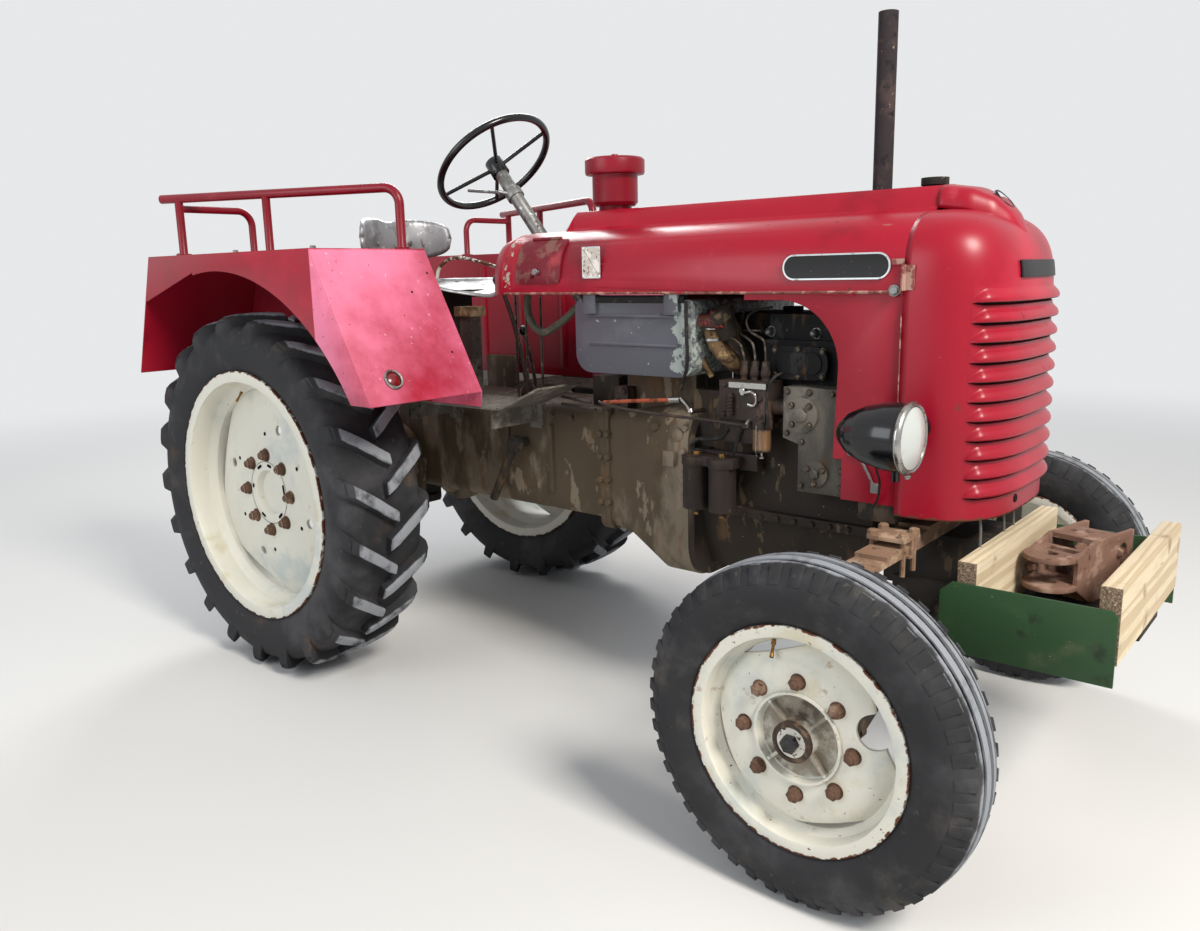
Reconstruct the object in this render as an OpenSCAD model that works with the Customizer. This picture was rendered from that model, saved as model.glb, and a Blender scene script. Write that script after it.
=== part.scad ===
// Farm tractor of the nineteen-fifties, three-cylinder diesel, in millimetres.
// X points forward, Y to the tractor's left, Z up; the origin lies on the floor, at the middle of its length.

/* [Stance] */
// Distance from the rear axle to the front axle
wheelbase = 1860; // [1780:5:1960]
// Distance between the middles of the rear tyres
rear_track = 1144; // [1120:2:1180]
// Distance between the middles of the front tyres
front_track = 1312; // [1296:2:1360]

/* [Rear wheels] */
// Radius over the lugs of a rear tyre
rear_tyre_r = 550; // [530:1:560]
// Width of a rear tyre
rear_tyre_w = 280; // [262:2:290]
// Height of the tread bars
lug_h = 28; // [16:1:34]
// Number of tread bars on each half of a rear tyre
lug_count = 21; // [16:1:24]
// Radius over the flange of a rear rim
rear_rim_r = 381; // [370:1:392]
// Number of wheel nuts on a rear wheel
rear_nuts = 8; // [6:1:10]

/* [Front wheels] */
// Radius of a front tyre
front_tyre_r = 340; // [325:1:350]
// Width of a front tyre
front_tyre_w = 150; // [136:2:158]
// Radius over the flange of a front rim
front_rim_r = 222; // [214:1:230]
// Number of wheel nuts on a front wheel
front_nuts = 8; // [6:1:8]

/* [Front axle] */
// Distance between the two kingpins
kingpin_track = 1000; // [960:5:1030]
// Length of the steering arms behind the kingpins
arm_l = 130; // [110:2:150]
// Length of the arm that the drag link moves
drag_arm_l = 140; // [110:2:160]
// Radius of the kingpins
kingpin_r = 16; // [12:1:18]
// Radial running clearance in bearings
run_fit = 0.06; // [0.02:0.01:0.1]

/* [Housings] */
// Half width of the gearbox housing
gearbox_half_w = 140; // [120:2:150]
// Height of the gearbox floor above the ground
gearbox_z = 500; // [470:5:520]
// Height of the gearbox top above the ground
gearbox_top = 820; // [800:5:840]
// Length of the clutch housing
clutch_l = 307; // [295:1:330]
// Length of the engine
engine_l = 490; // [480:1:505]
// Distance from the front end of the engine to the front axle
axle_lead = 100; // [92:1:120]

/* [Bonnet] */
// Half width of the bonnet
bonnet_half_w = 262; // [252:1:270]
// Height of the lower edge of the bonnet
bonnet_z = 1140; // [1130:1:1160]
// Height of the ridge of the bonnet
bonnet_top = 1370; // [1350:1:1390]
// Length of the bonnet's straight sheet
bonnet_l = 1157; // [1140:1:1180]
// Distance from the seam between bonnet and grille mask to the front axle
seam_lead = 13; // [4:1:15]
// Thickness of the pressed sheets
sheet_t = 5; // [3:0.5:7]
// How far the grille mask bulges ahead of its seam
mask_depth = 206; // [190:2:220]
// Height of the lower edge of the mask
mask_z = 672; // [660:1:690]
// Number of louvre bars in the mask
louvre_count = 11; // [8:1:12]

/* [Fenders] */
// Outer face of a fender, from the middle
fender_out = 742; // [738:1:756]
// Inner face of a fender, from the middle
fender_in = 362; // [350:1:380]
// Height of the fender tops
fender_z = 1272; // [1255:1:1290]
// Front end of a fender's top
fender_front_x = 480; // [460:1:500]
// Rear end of a fender's top
fender_rear_x = -380; // [-400:1:-360]
// Height of the hand rails over the fenders
rail_h = 168; // [140:2:190]
// Radius of the rail tube
rail_r = 13; // [10:0.5:15]

/* [Controls] */
// Radius of the steering wheel to the middle of its rim
steer_r = 186; // [170:1:200]
// Lean of the steering column from upright
steer_tilt = 40; // [36:1:44]

/* [Lamps] */
// Radius of the headlamps over their bezels
lamp_r = 72; // [60:1:80]
// Distance of the headlamps from the middle
lamp_y = 400; // [390:1:410]

/* [Front ballast] */
// Length of the two planks
plank_l = 580; // [520:5:600]
// Height of the plank tops above the ground
plank_z = 606; // [596:1:616]
// Pin bore radius of the front towing jaw
jaw_pin_r = 14; // [10:0.5:18]
// Pin bore radius of the rear drawbar
drawbar_pin_r = 16; // [12:0.5:20]

/* [Hidden] */

red = "#a5182c";
cream = "#d8d4c2";
cast = "#6d6659";
tyre_black = "#2b2a29";
dark_iron = "#3b3733";
forged = "#45413c";
lamp_black = "#1d1d1d";
zinc = "#9a9c9c";

// Gap between pieces that rest on each other
seat_gap = 0.3;

// Where the main pieces stand, measured from the rear axle
front_axle_z = front_tyre_r;
rear_axle_z = rear_tyre_r;
kingpin_y = kingpin_track / 2;
engine_front = wheelbase - axle_lead;
engine_x = engine_front - engine_l;
clutch_x = engine_x - clutch_l;
seam_x = wheelbase - seam_lead;
bonnet_rear = seam_x - bonnet_l;
bolster_front = wheelbase + 130;
ballast_front = wheelbase + 440;
plank_t = 38;
mid_x = (ballast_front - rear_tyre_r) / 2;

// Frame of the whole tractor: the origin moves from the rear axle to the middle of the length
module placed() { translate([-mid_x, 0, 0]) children(); }

// A copy on the tractor's right side of what is modelled on its left
module right_side() { mirror([0, 1, 0]) children(); }

module both_sides() {
    children();
    right_side() children();
}

// Profile of radius and outward distance turned about an axle that lies along Y
module spin_y() { rotate([-90, 0, 0]) rotate_extrude($fn = 96) children(); }

module axle(r, y0, y1) { translate([0, y0, 0]) rotate([-90, 0, 0]) cylinder(r = r, h = y1 - y0, $fn = 64); }

// Round bar from point p to point q
module bar(p, q, r) {
    d = q - p;
    l = norm(d);
    translate(p) rotate([0, acos(d[2] / l), atan2(d[1], d[0])]) cylinder(r = r, h = l, $fn = 32);
}

// Outline in X and Z, pulled out along Y from y0 to y1
module plate_y(y0, y1) { translate([0, y1, 0]) rotate([90, 0, 0]) linear_extrude(y1 - y0) children(); }

// Outline in Y and Z, pulled out along X from x0 to x1
module plate_x(x0, x1) {
    translate([x0, 0, 0]) rotate([90, 0, 90]) linear_extrude(x1 - x0) children();
}

module round_rect(w, h, r) {
    hull() for (x = [-1, 1], z = [-1, 1])
        translate([x * (w / 2 - r), z * (h / 2 - r)]) circle(r = r, $fn = 32);
}

// Rear tyre: carcass with chevron bars, cut to the crown by a turned envelope
rear_carcass_r = rear_tyre_r - lug_h;
rear_half_w = rear_tyre_w / 2;
rim_seat = 25;
rear_rim_half_w = rear_half_w - 14;
flange_t = 8;

module rear_tyre() {
    seat_r = rear_rim_r - rim_seat + seat_gap;
    seat_y = rear_rim_half_w - flange_t - seat_gap;
    lip_r = rear_rim_r + 4;
    shoulder = rear_half_w;
    spin_y() polygon([
        [seat_r, -seat_y], [seat_r, seat_y], [lip_r, seat_y], [lip_r + 8, rear_rim_half_w - 4],
        [lip_r + 42, shoulder - 5], [lip_r + 75, shoulder - 2], [rear_carcass_r - 30, shoulder - 8],
        [rear_carcass_r - 8, shoulder - 34], [rear_carcass_r, 50], [rear_carcass_r, -50],
        [rear_carcass_r - 8, 34 - shoulder], [rear_carcass_r - 30, 8 - shoulder],
        [lip_r + 75, 2 - shoulder], [lip_r + 42, 5 - shoulder], [lip_r + 8, 4 - rear_rim_half_w],
        [lip_r, -seat_y]
    ]);
    intersection() {
        lug_envelope();
        for (side = [-1, 1], k = [0 : lug_count - 1])
            rotate([0, (k + (side > 0 ? 0.5 : 0)) * 360 / lug_count, 0])
                mirror([0, side > 0 ? 0 : 1, 0]) lug_bar();
    }
}

module lug_envelope() {
    spin_y() polygon([
        [rear_carcass_r - 42, -rear_half_w], [rear_carcass_r - 42, rear_half_w],
        [rear_tyre_r - 26, rear_half_w], [rear_tyre_r - 8, rear_half_w - 18], [rear_tyre_r, 80],
        [rear_tyre_r, -80], [rear_tyre_r - 8, 18 - rear_half_w], [rear_tyre_r - 26, -rear_half_w]
    ]);
}

// One bar: its inner end lies at the middle of the tread and leads when the tractor rolls forward
module lug_bar() {
    bar_w = 34;
    out = rear_half_w + 2;
    translate([0, 0, rear_carcass_r - 44]) linear_extrude(lug_h + 60) polygon([
        [52, -9], [52 - bar_w * 1.1, -9], [16 - bar_w, 44], [-44 - bar_w * 0.8, out], [-44, out], [22, 44]
    ]);
}

// Front tyre: round section with three tread ribs
module front_tyre() {
    half = front_tyre_w / 2;
    seat_r = front_rim_r - 18 + seat_gap;
    seat_y = half - 13 - 6 - seat_gap;
    groove = 9;
    r = front_tyre_r;
    spin_y() polygon([
        [seat_r, -seat_y], [seat_r, seat_y], [front_rim_r + 3, seat_y], [front_rim_r + 14, half - 6],
        [r - 66, half], [r - 38, half - 2], [r - 14, half - 12],
        [r - 7, half - 20], [r - 4, 31], [r - 4 - groove, 30], [r - 4 - groove, 23], [r - 2, 22],
        [r, 7], [r - groove, 6], [r - groove, -6], [r, -7],
        [r - 2, -22], [r - 4 - groove, -23], [r - 4 - groove, -30], [r - 4, -31], [r - 7, 20 - half],
        [r - 14, 12 - half], [r - 38, 2 - half], [r - 66, -half], [front_rim_r + 14, 6 - half],
        [front_rim_r + 3, -seat_y]
    ]);
}

// Rear wheel: rolled rim with drop centre, dished disc with four straight flats, sunk hub and nuts
rear_disc_out = 56;
rear_nut_circle_r = 118;
hub_bowl_r = 70;
hub_bowl_depth = 18;
disc_flat = 286;
axle_r = 34;
trumpet_end = 512;

module rear_rim() {
    w = rear_rim_half_w;
    seat_r = rear_rim_r - rim_seat;
    t = 7;
    spin_y() polygon([
        [rear_rim_r, w], [rear_rim_r, w - flange_t], [seat_r, w - flange_t],
        [seat_r - 4, 62], [seat_r - 26, 42], [seat_r - 26, -42], [seat_r - 4, -62],
        [seat_r, flange_t - w], [rear_rim_r, flange_t - w], [rear_rim_r, -w], [seat_r - t, -w],
        [seat_r - 4 - t, -66], [seat_r - 26 - t, -46], [seat_r - 26 - t, 46], [seat_r - 4 - t, 66],
        [seat_r - t, w]
    ]);
    difference() {
        intersection() {
            spin_y() polygon([
                [hub_bowl_r + 4, rear_disc_out - 9], [150, rear_disc_out - 9], [240, 38], [seat_r - 30, 20],
                [seat_r - 30, 29], [240, 48], [154, rear_disc_out], [hub_bowl_r + 4, rear_disc_out]
            ]);
            rotate([0, 20, 0]) cube([2 * disc_flat, 200, 2 * disc_flat], center = true);
        }
        for (k = [0 : 3]) rotate([0, 20 + k * 90, 0]) translate([0, 0, 212]) axle(15, 0, 90);
    }
    hub_back();
    for (k = [0 : rear_nuts - 1]) rotate([0, k * 360 / rear_nuts, 0]) translate([0, 0, rear_nut_circle_r]) {
        axle(11, rear_disc_out - 2, rear_disc_out + 22);
        translate([0, rear_disc_out - 1, 0]) rotate([-90, 0, 0]) cylinder(r = 17, h = 14, $fn = 6);
    }
}

// Axle flange that fills the disc's middle round a sunk bowl, and the shaft that turns in the trumpet
module hub_back() {
    shoulder_y = trumpet_end + seat_gap - rear_track / 2;
    spin_y() polygon([
        [0, rear_disc_out - 30], [132, rear_disc_out - 30], [132, rear_disc_out - 5], [96, rear_disc_out + 1],
        [hub_bowl_r, rear_disc_out + 1], [hub_bowl_r - 8, rear_disc_out - hub_bowl_depth],
        [0, rear_disc_out - hub_bowl_depth]
    ]);
    axle(62, shoulder_y, rear_disc_out - 20);
    axle(axle_r, shoulder_y - 70, shoulder_y + 10);
}

// Front wheel rim: drop centre and a shallow disc with four flats, one of them cut in deeper for the valve
front_disc_out = 42;
pan_r = 90;
front_nut_circle_r = 112;
front_flat = front_rim_r - 56;
front_flat_turn = 70;
bite_r = 33;

module front_rim() {
    w = front_tyre_w / 2 - 13;
    seat_r = front_rim_r - 18;
    t = 5;
    spin_y() polygon([
        [front_rim_r, w], [front_rim_r, w - 6], [seat_r, w - 6], [seat_r - 3, 26], [seat_r - 16, 16],
        [seat_r - 16, -16], [seat_r - 3, -26], [seat_r, 6 - w], [front_rim_r, 6 - w], [front_rim_r, -w],
        [seat_r - t, -w], [seat_r - 3 - t, -29], [seat_r - 16 - t, -19], [seat_r - 16 - t, 19],
        [seat_r - 3 - t, 29],
        [seat_r - t, w]
    ]);
    difference() {
        intersection() {
            spin_y() polygon([
                [pan_r + seat_gap, front_disc_out - 6], [138, front_disc_out - 6], [160, front_disc_out - 12],
                [seat_r - 18, 10], [seat_r - 18, 17], [164, front_disc_out - 6], [140, front_disc_out],
                [pan_r + seat_gap, front_disc_out]
            ]);
            rotate([0, front_flat_turn, 0]) cube([2 * front_flat, 300, 2 * front_flat], center = true);
        }
        rotate([0, front_flat_turn, 0]) translate([0, 0, front_flat - 8]) axle(bite_r, -20, 80);
    }
    for (k = [0 : front_nuts - 1]) rotate([0, k * 360 / front_nuts, 0])
        translate([0, front_disc_out - 1, front_nut_circle_r]) rotate([-90, 0, 0])
            cylinder(r = 13, h = 15, $fn = 6);
}

// Cast hub that turns on the stub axle, with a round pan, four ribs and a cap
stub_r = 21;
stub_end = 44;

module front_hub() {
    inner = kingpin_y + 42 - front_track / 2;
    difference() {
        union() {
            spin_y() polygon([
                [0, inner], [48, inner], [48, 4], [74, 16], [118, 24], [118, front_disc_out - 6 - seat_gap],
                [pan_r, front_disc_out - 6 - seat_gap], [pan_r, front_disc_out + 5],
                [pan_r - 5, front_disc_out + 5],
                [pan_r - 8, front_disc_out - 12], [39, front_disc_out - 14], [36, front_disc_out + 22],
                [0, front_disc_out + 22]
            ]);
            for (k = [0 : 3]) rotate([0, 45 + k * 90, 0]) translate([-3, front_disc_out - 15, 30])
                cube([6, 17, pan_r - 36]);
            translate([0, front_disc_out + 21, 0]) rotate([-90, 0, 0]) cylinder(r = 17, h = 14, $fn = 6);
        }
        axle(stub_r + run_fit, inner - 1, stub_end + seat_gap);
    }
}

// Knuckle: barrel on the kingpin, stub axle, rear arm for the tie rod, and on the left one for the drag link
barrel_z0 = front_axle_z - 52;
barrel_z1 = front_axle_z + 150;
tie_arm_z = barrel_z0 + 14;
drag_arm_z = barrel_z1 - 20;

module knuckle(drag_arm) {
    inner = kingpin_y + 42;
    difference() {
        union() {
            translate([0, kingpin_y, barrel_z0]) cylinder(r = 34, h = barrel_z1 - barrel_z0, $fn = 64);
            translate([0, 0, front_axle_z]) axle(30, kingpin_y, inner - seat_gap);
            translate([0, 0, front_axle_z]) axle(stub_r, kingpin_y, front_track / 2 + stub_end);
            translate([-arm_l, kingpin_y - 14, tie_arm_z - 9]) cube([arm_l, 28, 18]);
            translate([-arm_l, kingpin_y, tie_arm_z - 9]) cylinder(r = 20, h = 18, $fn = 48);
            if (drag_arm) {
                translate([-13, kingpin_y - drag_arm_l, drag_arm_z - 8]) cube([26, drag_arm_l, 16]);
                translate([0, kingpin_y - drag_arm_l, drag_arm_z - 8]) cylinder(r = 19, h = 16, $fn = 48);
            }
        }
        translate([0, kingpin_y, barrel_z0 - 1]) cylinder(r = kingpin_r + run_fit, h = 300, $fn = 64);
    }
    translate([-arm_l, kingpin_y, tie_arm_z]) cylinder(r = 8, h = 36, $fn = 48);
}

// Tie rod: its left eye turns on a pin of the left arm, its right eye is the opened pivot with a wide bore
tie_rod_z = tie_arm_z + 9 + seat_gap;
open_fit = 1.5;

module tie_rod() {
    color(forged) placed() at_front_axle() {
        for (s = [-1, 1]) translate([-arm_l, s * kingpin_y, tie_rod_z]) difference() {
            cylinder(r = 19, h = 24, $fn = 48);
            translate([0, 0, -1]) cylinder(r = 8 + (s > 0 ? run_fit : open_fit), h = 30, $fn = 48);
        }
        difference() {
            translate([-arm_l, 0, tie_rod_z + 12]) axle(11, 14 - kingpin_y, kingpin_y - 14);
            for (s = [-1, 1]) translate([-arm_l, s * kingpin_y, tie_rod_z - 1])
                cylinder(r = 15, h = 30, $fn = 48);
        }
    }
}

// Lower arms, each with its eye and kingpin, up to the block under the end of the spring
eye_h = 40;
spring_z = 600;
spring_t = 38;

module lower_arms() {
    color(dark_iron) placed() at_front_axle() {
        z = barrel_z0 - seat_gap - eye_h / 2;
        both_sides() {
            difference() {
                for (dx = [-48, 48]) bar([dx, 100.5, 470], [dx * 0.3, kingpin_y - 26, z], 15);
                translate([-100, 60, 400]) cube([200, 40 + seat_gap, 150]);
            }
            translate([-70, 100 + seat_gap, 440]) cube([140, 16, 52]);
            translate([-22, kingpin_y - 62, z - 17]) cube([44, 40, 34]);
            translate([0, kingpin_y, barrel_z0 - seat_gap - eye_h]) cylinder(r = 32, h = eye_h, $fn = 64);
            translate([0, kingpin_y, barrel_z0 - seat_gap - 1])
                cylinder(r = kingpin_r, h = barrel_z1 - barrel_z0 + 2, $fn = 64);
            translate([0, kingpin_y, barrel_z1 + seat_gap])
                cylinder(r = 32, h = spring_z - barrel_z1 - 2 * seat_gap, $fn = 64);
        }
    }
}

module leaf_spring() {
    color("#5d4a3c") placed() at_front_axle() {
        // columns: half length, lower face above the seat, thickness
        leaves = [[525, 0, 12], [400, 12, 9], [290, 21, 9], [180, 30, 8]];
        for (l = leaves) translate([-35, -l[0], spring_z + l[1]]) cube([70, 2 * l[0], l[2]]);
        for (s = [-1, 1]) translate([-41, s * 285 - 14, spring_z - 6]) cube([82, 28, 6]);
        for (s = [-1, 1], dx = [-41, 35.2]) translate([dx, s * 285 - 6, spring_z - 6]) cube([6, 12, 44]);
        for (s = [-1, 1]) translate([-41, s * 285 - 6, spring_z + 30]) cube([82, 12, 8]);
    }
}

// Gearbox housing with ribs and an end flange, the drive housing between the trumpets at its rear
gearbox_rear = -190;
housing_r = 36;

module housing_section(w, z0, z1, r) { translate([0, (z0 + z1) / 2]) round_rect(2 * w, z1 - z0, r); }

module gearbox_housing() {
    color(cast) placed() {
        w = gearbox_half_w;
        plate_x(gearbox_rear, clutch_x) housing_section(w, gearbox_z, gearbox_top, housing_r);
        plate_x(clutch_x - 16, clutch_x) housing_section(w + 22, gearbox_z - 22, gearbox_top + 10, housing_r);
        plate_x(250, 266) housing_section(w + 10, gearbox_z - 10, gearbox_top, housing_r);
        plate_x(gearbox_rear - 14, gearbox_rear)
            housing_section(w - 20, gearbox_z + 10, gearbox_top - 30, housing_r);
        for (s = [-1, 1], x = [380, 560, 740]) translate([x, s > 0 ? w - 4 : -w - 10, gearbox_z + 60])
            cube([14, 14, gearbox_top - gearbox_z - 120]);
        translate([gearbox_rear - 13, 0, 640]) rotate([0, -90, 0]) cylinder(r = 17, h = 84, $fn = 48);
    }
}

module axle_trumpets() {
    color(cast) placed() {
        z = rear_axle_z;
        y0 = gearbox_half_w + seat_gap;
        both_sides() difference() {
            union() {
                translate([0, 0, z]) spin_y() polygon([
                    [0, y0], [168, y0], [168, y0 + 18], [132, y0 + 30], [132, y0 + 96], [140, y0 + 100],
                    [140, y0 + 116], [104, y0 + 124], [82, trumpet_end - 60], [96, trumpet_end - 44],
                    [96, trumpet_end], [0, trumpet_end]
                ]);
                translate([-30, 300, z + 60]) cube([150, 40, 60]);
                translate([-30, fender_in - seat_gap - 18, z + 60]) cube([150, 18, 290]);
            }
            translate([0, 0, z]) axle(axle_r + run_fit, trumpet_end - 74, trumpet_end + 1);
        }
    }
}

module clutch_housing() {
    color(cast) placed() {
        x0 = clutch_x + seat_gap;
        x1 = engine_x - seat_gap;
        w0 = gearbox_half_w + 14;
        hull() {
            plate_x(x0, x0 + 30) housing_section(w0, gearbox_z - 10, gearbox_top + 4, housing_r);
            plate_x(x0 + 70, x0 + 100) housing_section(w0 + 4, gearbox_z - 24, gearbox_top + 4, housing_r);
        }
        hull() {
            plate_x(x0 + 80, x0 + 90) housing_section(w0 + 2, gearbox_z - 24, gearbox_top + 4, housing_r);
            plate_x(x1 - 96, x1) housing_section(w0 + 42, gearbox_z - 104, gearbox_top + 30, 90);
        }
        plate_x(x0, x0 + 16)
            housing_section(gearbox_half_w + 22, gearbox_z - 22, gearbox_top + 10, housing_r);
        translate([x0 + 30, -90, gearbox_top]) cube([230, 180, tank_z0 - seat_gap - gearbox_top]);
        for (s = [-1, 1]) translate([x1 - 70, s > 0 ? w0 + 30 : -w0 - 56, 700]) cube([34, 26, 40]);
    }
}

// Engine: sump, crankcase with its flange, and the tilted oil filler
sump_z = 430;
flange_z = 600;
block_half_w = 168;
head_z = 900;

filler_foot = [engine_x + 155, -140, 945];
filler_dir = [-0.31, -0.41, 0.858];

module engine_block() {
    color("#4f493f") placed() {
        x0 = engine_x;
        x1 = engine_front;
        translate([x0, -block_half_w, flange_z]) cube([x1 - x0, 2 * block_half_w, head_z - flange_z]);
        translate([x0, -block_half_w - 20, flange_z - 8]) cube([x1 - x0, 2 * block_half_w + 40, 22]);
        hull() {
            translate([x0, 12 - block_half_w, flange_z - 20]) cube([x1 - x0, 2 * block_half_w - 24, 20]);
            translate([x0, 34 - block_half_w, sump_z + 60]) cube([x1 - x0 - 20, 2 * block_half_w - 68, 20]);
            translate([x0 + 20, 60 - block_half_w, sump_z]) cube([x1 - x0 - 190, 2 * block_half_w - 120, 20]);
        }
        plate_x(x0, x0 + 18) housing_section(block_half_w + 26, gearbox_z - 100, gearbox_top + 26, 90);
        translate([filler_foot[0], filler_foot[1], head_z - 8])
            cylinder(r = 22, h = filler_foot[2] - head_z + 14, $fn = 48);
        bar(filler_foot, filler_foot + 130 * filler_dir, 20);
        bar(filler_foot + 112 * filler_dir, filler_foot + 158 * filler_dir, 30);
        bar(filler_foot + 156 * filler_dir, filler_foot + 180 * filler_dir, 38);
    }
}

module cylinder_head() {
    color("#3c3a37") placed() {
        x0 = tank_x1 + 7;
        z0 = head_z + seat_gap;
        w = 142;
        difference() {
            translate([x0, -w, z0]) cube([engine_front - x0 - 10, 2 * w, 188]);
            translate([engine_x + 40, -w - 1, z0 - 1]) cube([150, 60, 190]);
            for (s = [-1, 1]) translate([engine_x, s > 0 ? w - 22 : -w - 1, z0 + 128]) cube([600, 23, 80]);
        }
        // Pill-shaped side cover
        translate([engine_x + 320, 0, z0 + 66]) plate_y(-w - 12, -w + 1)
            hull() for (dx = [-80, 80]) translate([dx, 0]) circle(r = 46, $fn = 48);
        for (dx = [170, 290, 410]) translate([engine_x + dx, 30, z0 + 187])
            cylinder(r = 26, h = 14, $fn = 48);
    }
}

module timing_case() {
    color("#75726a") placed() {
        y0 = -block_half_w - seat_gap;
        t = 68;
        x1 = engine_front - 34;
        x0 = x1 - 162;
        plate_y(y0 - t, y0) polygon([
            [x0, 930], [x1, 930], [x1, 690], [x0 + 40, 690], [x0 + 40, 800], [x0, 812]
        ]);
        // columns: behind the front edge, height, radius
        for (c = [[114, 868, 40], [76, 736, 30]])
            translate([x1 - c[0], 0, c[1]]) plate_y(y0 - t - 8, y0 - t + 1) circle(r = c[2], $fn = 48);
        translate([x1 - 26, y0 - t - 6, 700]) cube([26, 7, 216]);
    }
}

module injection_pump() {
    color("#4a3f3c") placed() {
        y0 = -block_half_w - seat_gap;
        x0 = engine_x + 130;
        translate([x0, y0 - 84, 846]) cube([126, 84, 92]);
        translate([x0 + 12, y0 - 74, 790]) cube([78, 74, 58]);
        translate([x0 - 6, y0 - 42, 866]) rotate([0, 90, 0]) cylinder(r = 41, h = 30, $fn = 48);
        for (k = [0 : 2]) translate([x0 + 44 + k * 28, y0 - 40, 936]) {
            cylinder(r = 10, h = 34, $fn = 32);
            translate([0, 0, 12]) cylinder(r = 13, h = 12, $fn = 6);
        }
        // Glass bowl in its wire bail
        translate([x0 + 104, y0 - 60, 772]) cylinder(r = 21, h = 62, $fn = 48);
        translate([x0 + 104, y0 - 60, 826]) cylinder(r = 26, h = 21, $fn = 48);
        bar([x0 + 126, y0 - 40, 880], [x0 + 160, y0 - 40, 880], 20);
    }
}

module fuel_filters() {
    color("#4a403c") placed() {
        y0 = -block_half_w - 26 - seat_gap;
        x0 = engine_x + 30;
        for (x = [x0 + 22, x0 + 98]) {
            translate([x, y0 - 40, 612]) cylinder(r = 34, h = 112, $fn = 48);
            translate([x, y0 - 40, 723]) cylinder(r = 37, h = 22, $fn = 48);
            translate([x, y0 - 40, 600]) cylinder(r = 8, h = 14, $fn = 32);
        }
        translate([x0, y0 - 60, 724]) cube([140, 46, 24]);
        translate([x0, y0 - 14, 716]) cube([180, 14, 40]);
        for (x = [x0, x0 + 150]) translate([x, y0 - 8, 716]) cube([30, 34, 40]);
    }
}

// Exhaust: upright pipe through the bonnet, its elbow and the manifold on the left of the head
exhaust_x = engine_x + 410;
exhaust_r = 22;
exhaust_top = 1752;
manifold_z = head_z + 90;
cross_z = 1150;
manifold_y = 178;

module exhaust_pipe() {
    color("#3a3230") placed() {
        y0 = 142 + seat_gap;
        difference() {
            union() {
                translate([exhaust_x, 0, cross_z])
                    cylinder(r = exhaust_r, h = exhaust_top - cross_z, $fn = 64);
                translate([exhaust_x, 0, cross_z]) sphere(r = exhaust_r + 6, $fn = 48);
                bar([exhaust_x, 0, cross_z], [exhaust_x, manifold_y, cross_z], exhaust_r + 6);
                translate([exhaust_x, manifold_y, cross_z]) sphere(r = exhaust_r + 6, $fn = 48);
                bar([exhaust_x, manifold_y, cross_z], [exhaust_x, manifold_y, manifold_z], exhaust_r + 6);
                bar([exhaust_x - 280, manifold_y, manifold_z], [exhaust_x + 30, manifold_y, manifold_z], 30);
                for (dx = [0, 130, 260]) translate([exhaust_x - dx - 24, y0, manifold_z - 26])
                    cube([48, 34, 52]);
            }
            translate([exhaust_x, 0, 1300]) cylinder(r = exhaust_r - 2.5, h = 500, $fn = 64);
        }
    }
}

// Air cleaner: capped bowl over the bonnet, on a pipe that the bonnet holds
cleaner_x = bonnet_rear + 198;
cleaner_pipe_r = 46;
cleaner_z = 1378;

module air_cleaner() {
    color(red) placed() {
        translate([cleaner_x, 0, 0]) {
            translate([0, 0, bonnet_z + 20])
                cylinder(r = cleaner_pipe_r, h = cleaner_z - bonnet_z - 18, $fn = 64);
            translate([0, 0, cleaner_z]) rotate_extrude($fn = 64) polygon([
                [0, 0], [56, 0], [64, 10], [64, 84], [82, 86], [84, 92], [84, 124], [78, 130], [30, 133], [0, 134]
            ]);
            translate([0, 0, cleaner_z + 132]) cylinder(r = 9, h = 9, $fn = 32);
        }
    }
}

neck_x = engine_front + 43;
core_half_w = 222;
neck_r = 20;

module radiator() {
    color("#33322f") placed() {
        x0 = engine_front + seat_gap;
        z0 = bolster_top + seat_gap;
        translate([x0 + 24, -core_half_w, z0]) cube([64, 2 * core_half_w, 530]);
        for (dz = [480, 0]) translate([x0 + 18, -core_half_w - 4, z0 + dz])
            cube([68, 2 * core_half_w + 8, dz > 0 ? 70 : 60]);
        translate([neck_x, 0, z0 + 540]) cylinder(r = neck_r, h = bonnet_top + 1 - z0 - 540, $fn = 48);
        translate([neck_x, 0, bonnet_top + seat_gap]) cylinder(r = neck_r + 10, h = 16, $fn = 48);
        translate([x0, 0, 1010]) rotate([0, 90, 0]) cylinder(r = 190, h = 26, $fn = 96);
    }
}

// Front bolster: block ahead of the engine with a seat for the leaf spring, and the tongue under the ballast
bolster_top = 690;
tongue_z = 440;
tongue_t = 14;
tongue_half_w = 90;

module front_bolster() {
    color(dark_iron) placed() {
        x0 = engine_front + seat_gap;
        tab_y = panel_y - seat_gap;
        translate([x0, -100, 470]) cube([56, 200, 220]);
        translate([x0, -tab_y, bolster_top - 40]) cube([86, 2 * tab_y, 40]);
        both_sides() translate([x0 + 30, tab_y - 24, bolster_top - 30]) cube([40, 24, 80]);
        translate([x0 + 50, -100, 470]) cube([bolster_front - x0 - 50, 200, spring_z - seat_gap - 470]);
        plate_y(-100, 100) polygon([
            [wheelbase - 10, 480], [bolster_front, 480], [bolster_front, 400], [wheelbase + 80, 380],
            [wheelbase - 10, 420]
        ]);
        translate([bolster_front - 30, -tongue_half_w, tongue_z])
            cube([ballast_front - bolster_front + 30, 2 * tongue_half_w, tongue_t]);
    }
}

// Bonnet section: upright sides that roll over into a flat shoulder, with a raised ridge along the middle
shoulder_z = 1100;
shoulder_h = 212;
ridge_w = 78;

function rolled(a, n) = pow(abs(a), 2 / n);
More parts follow.
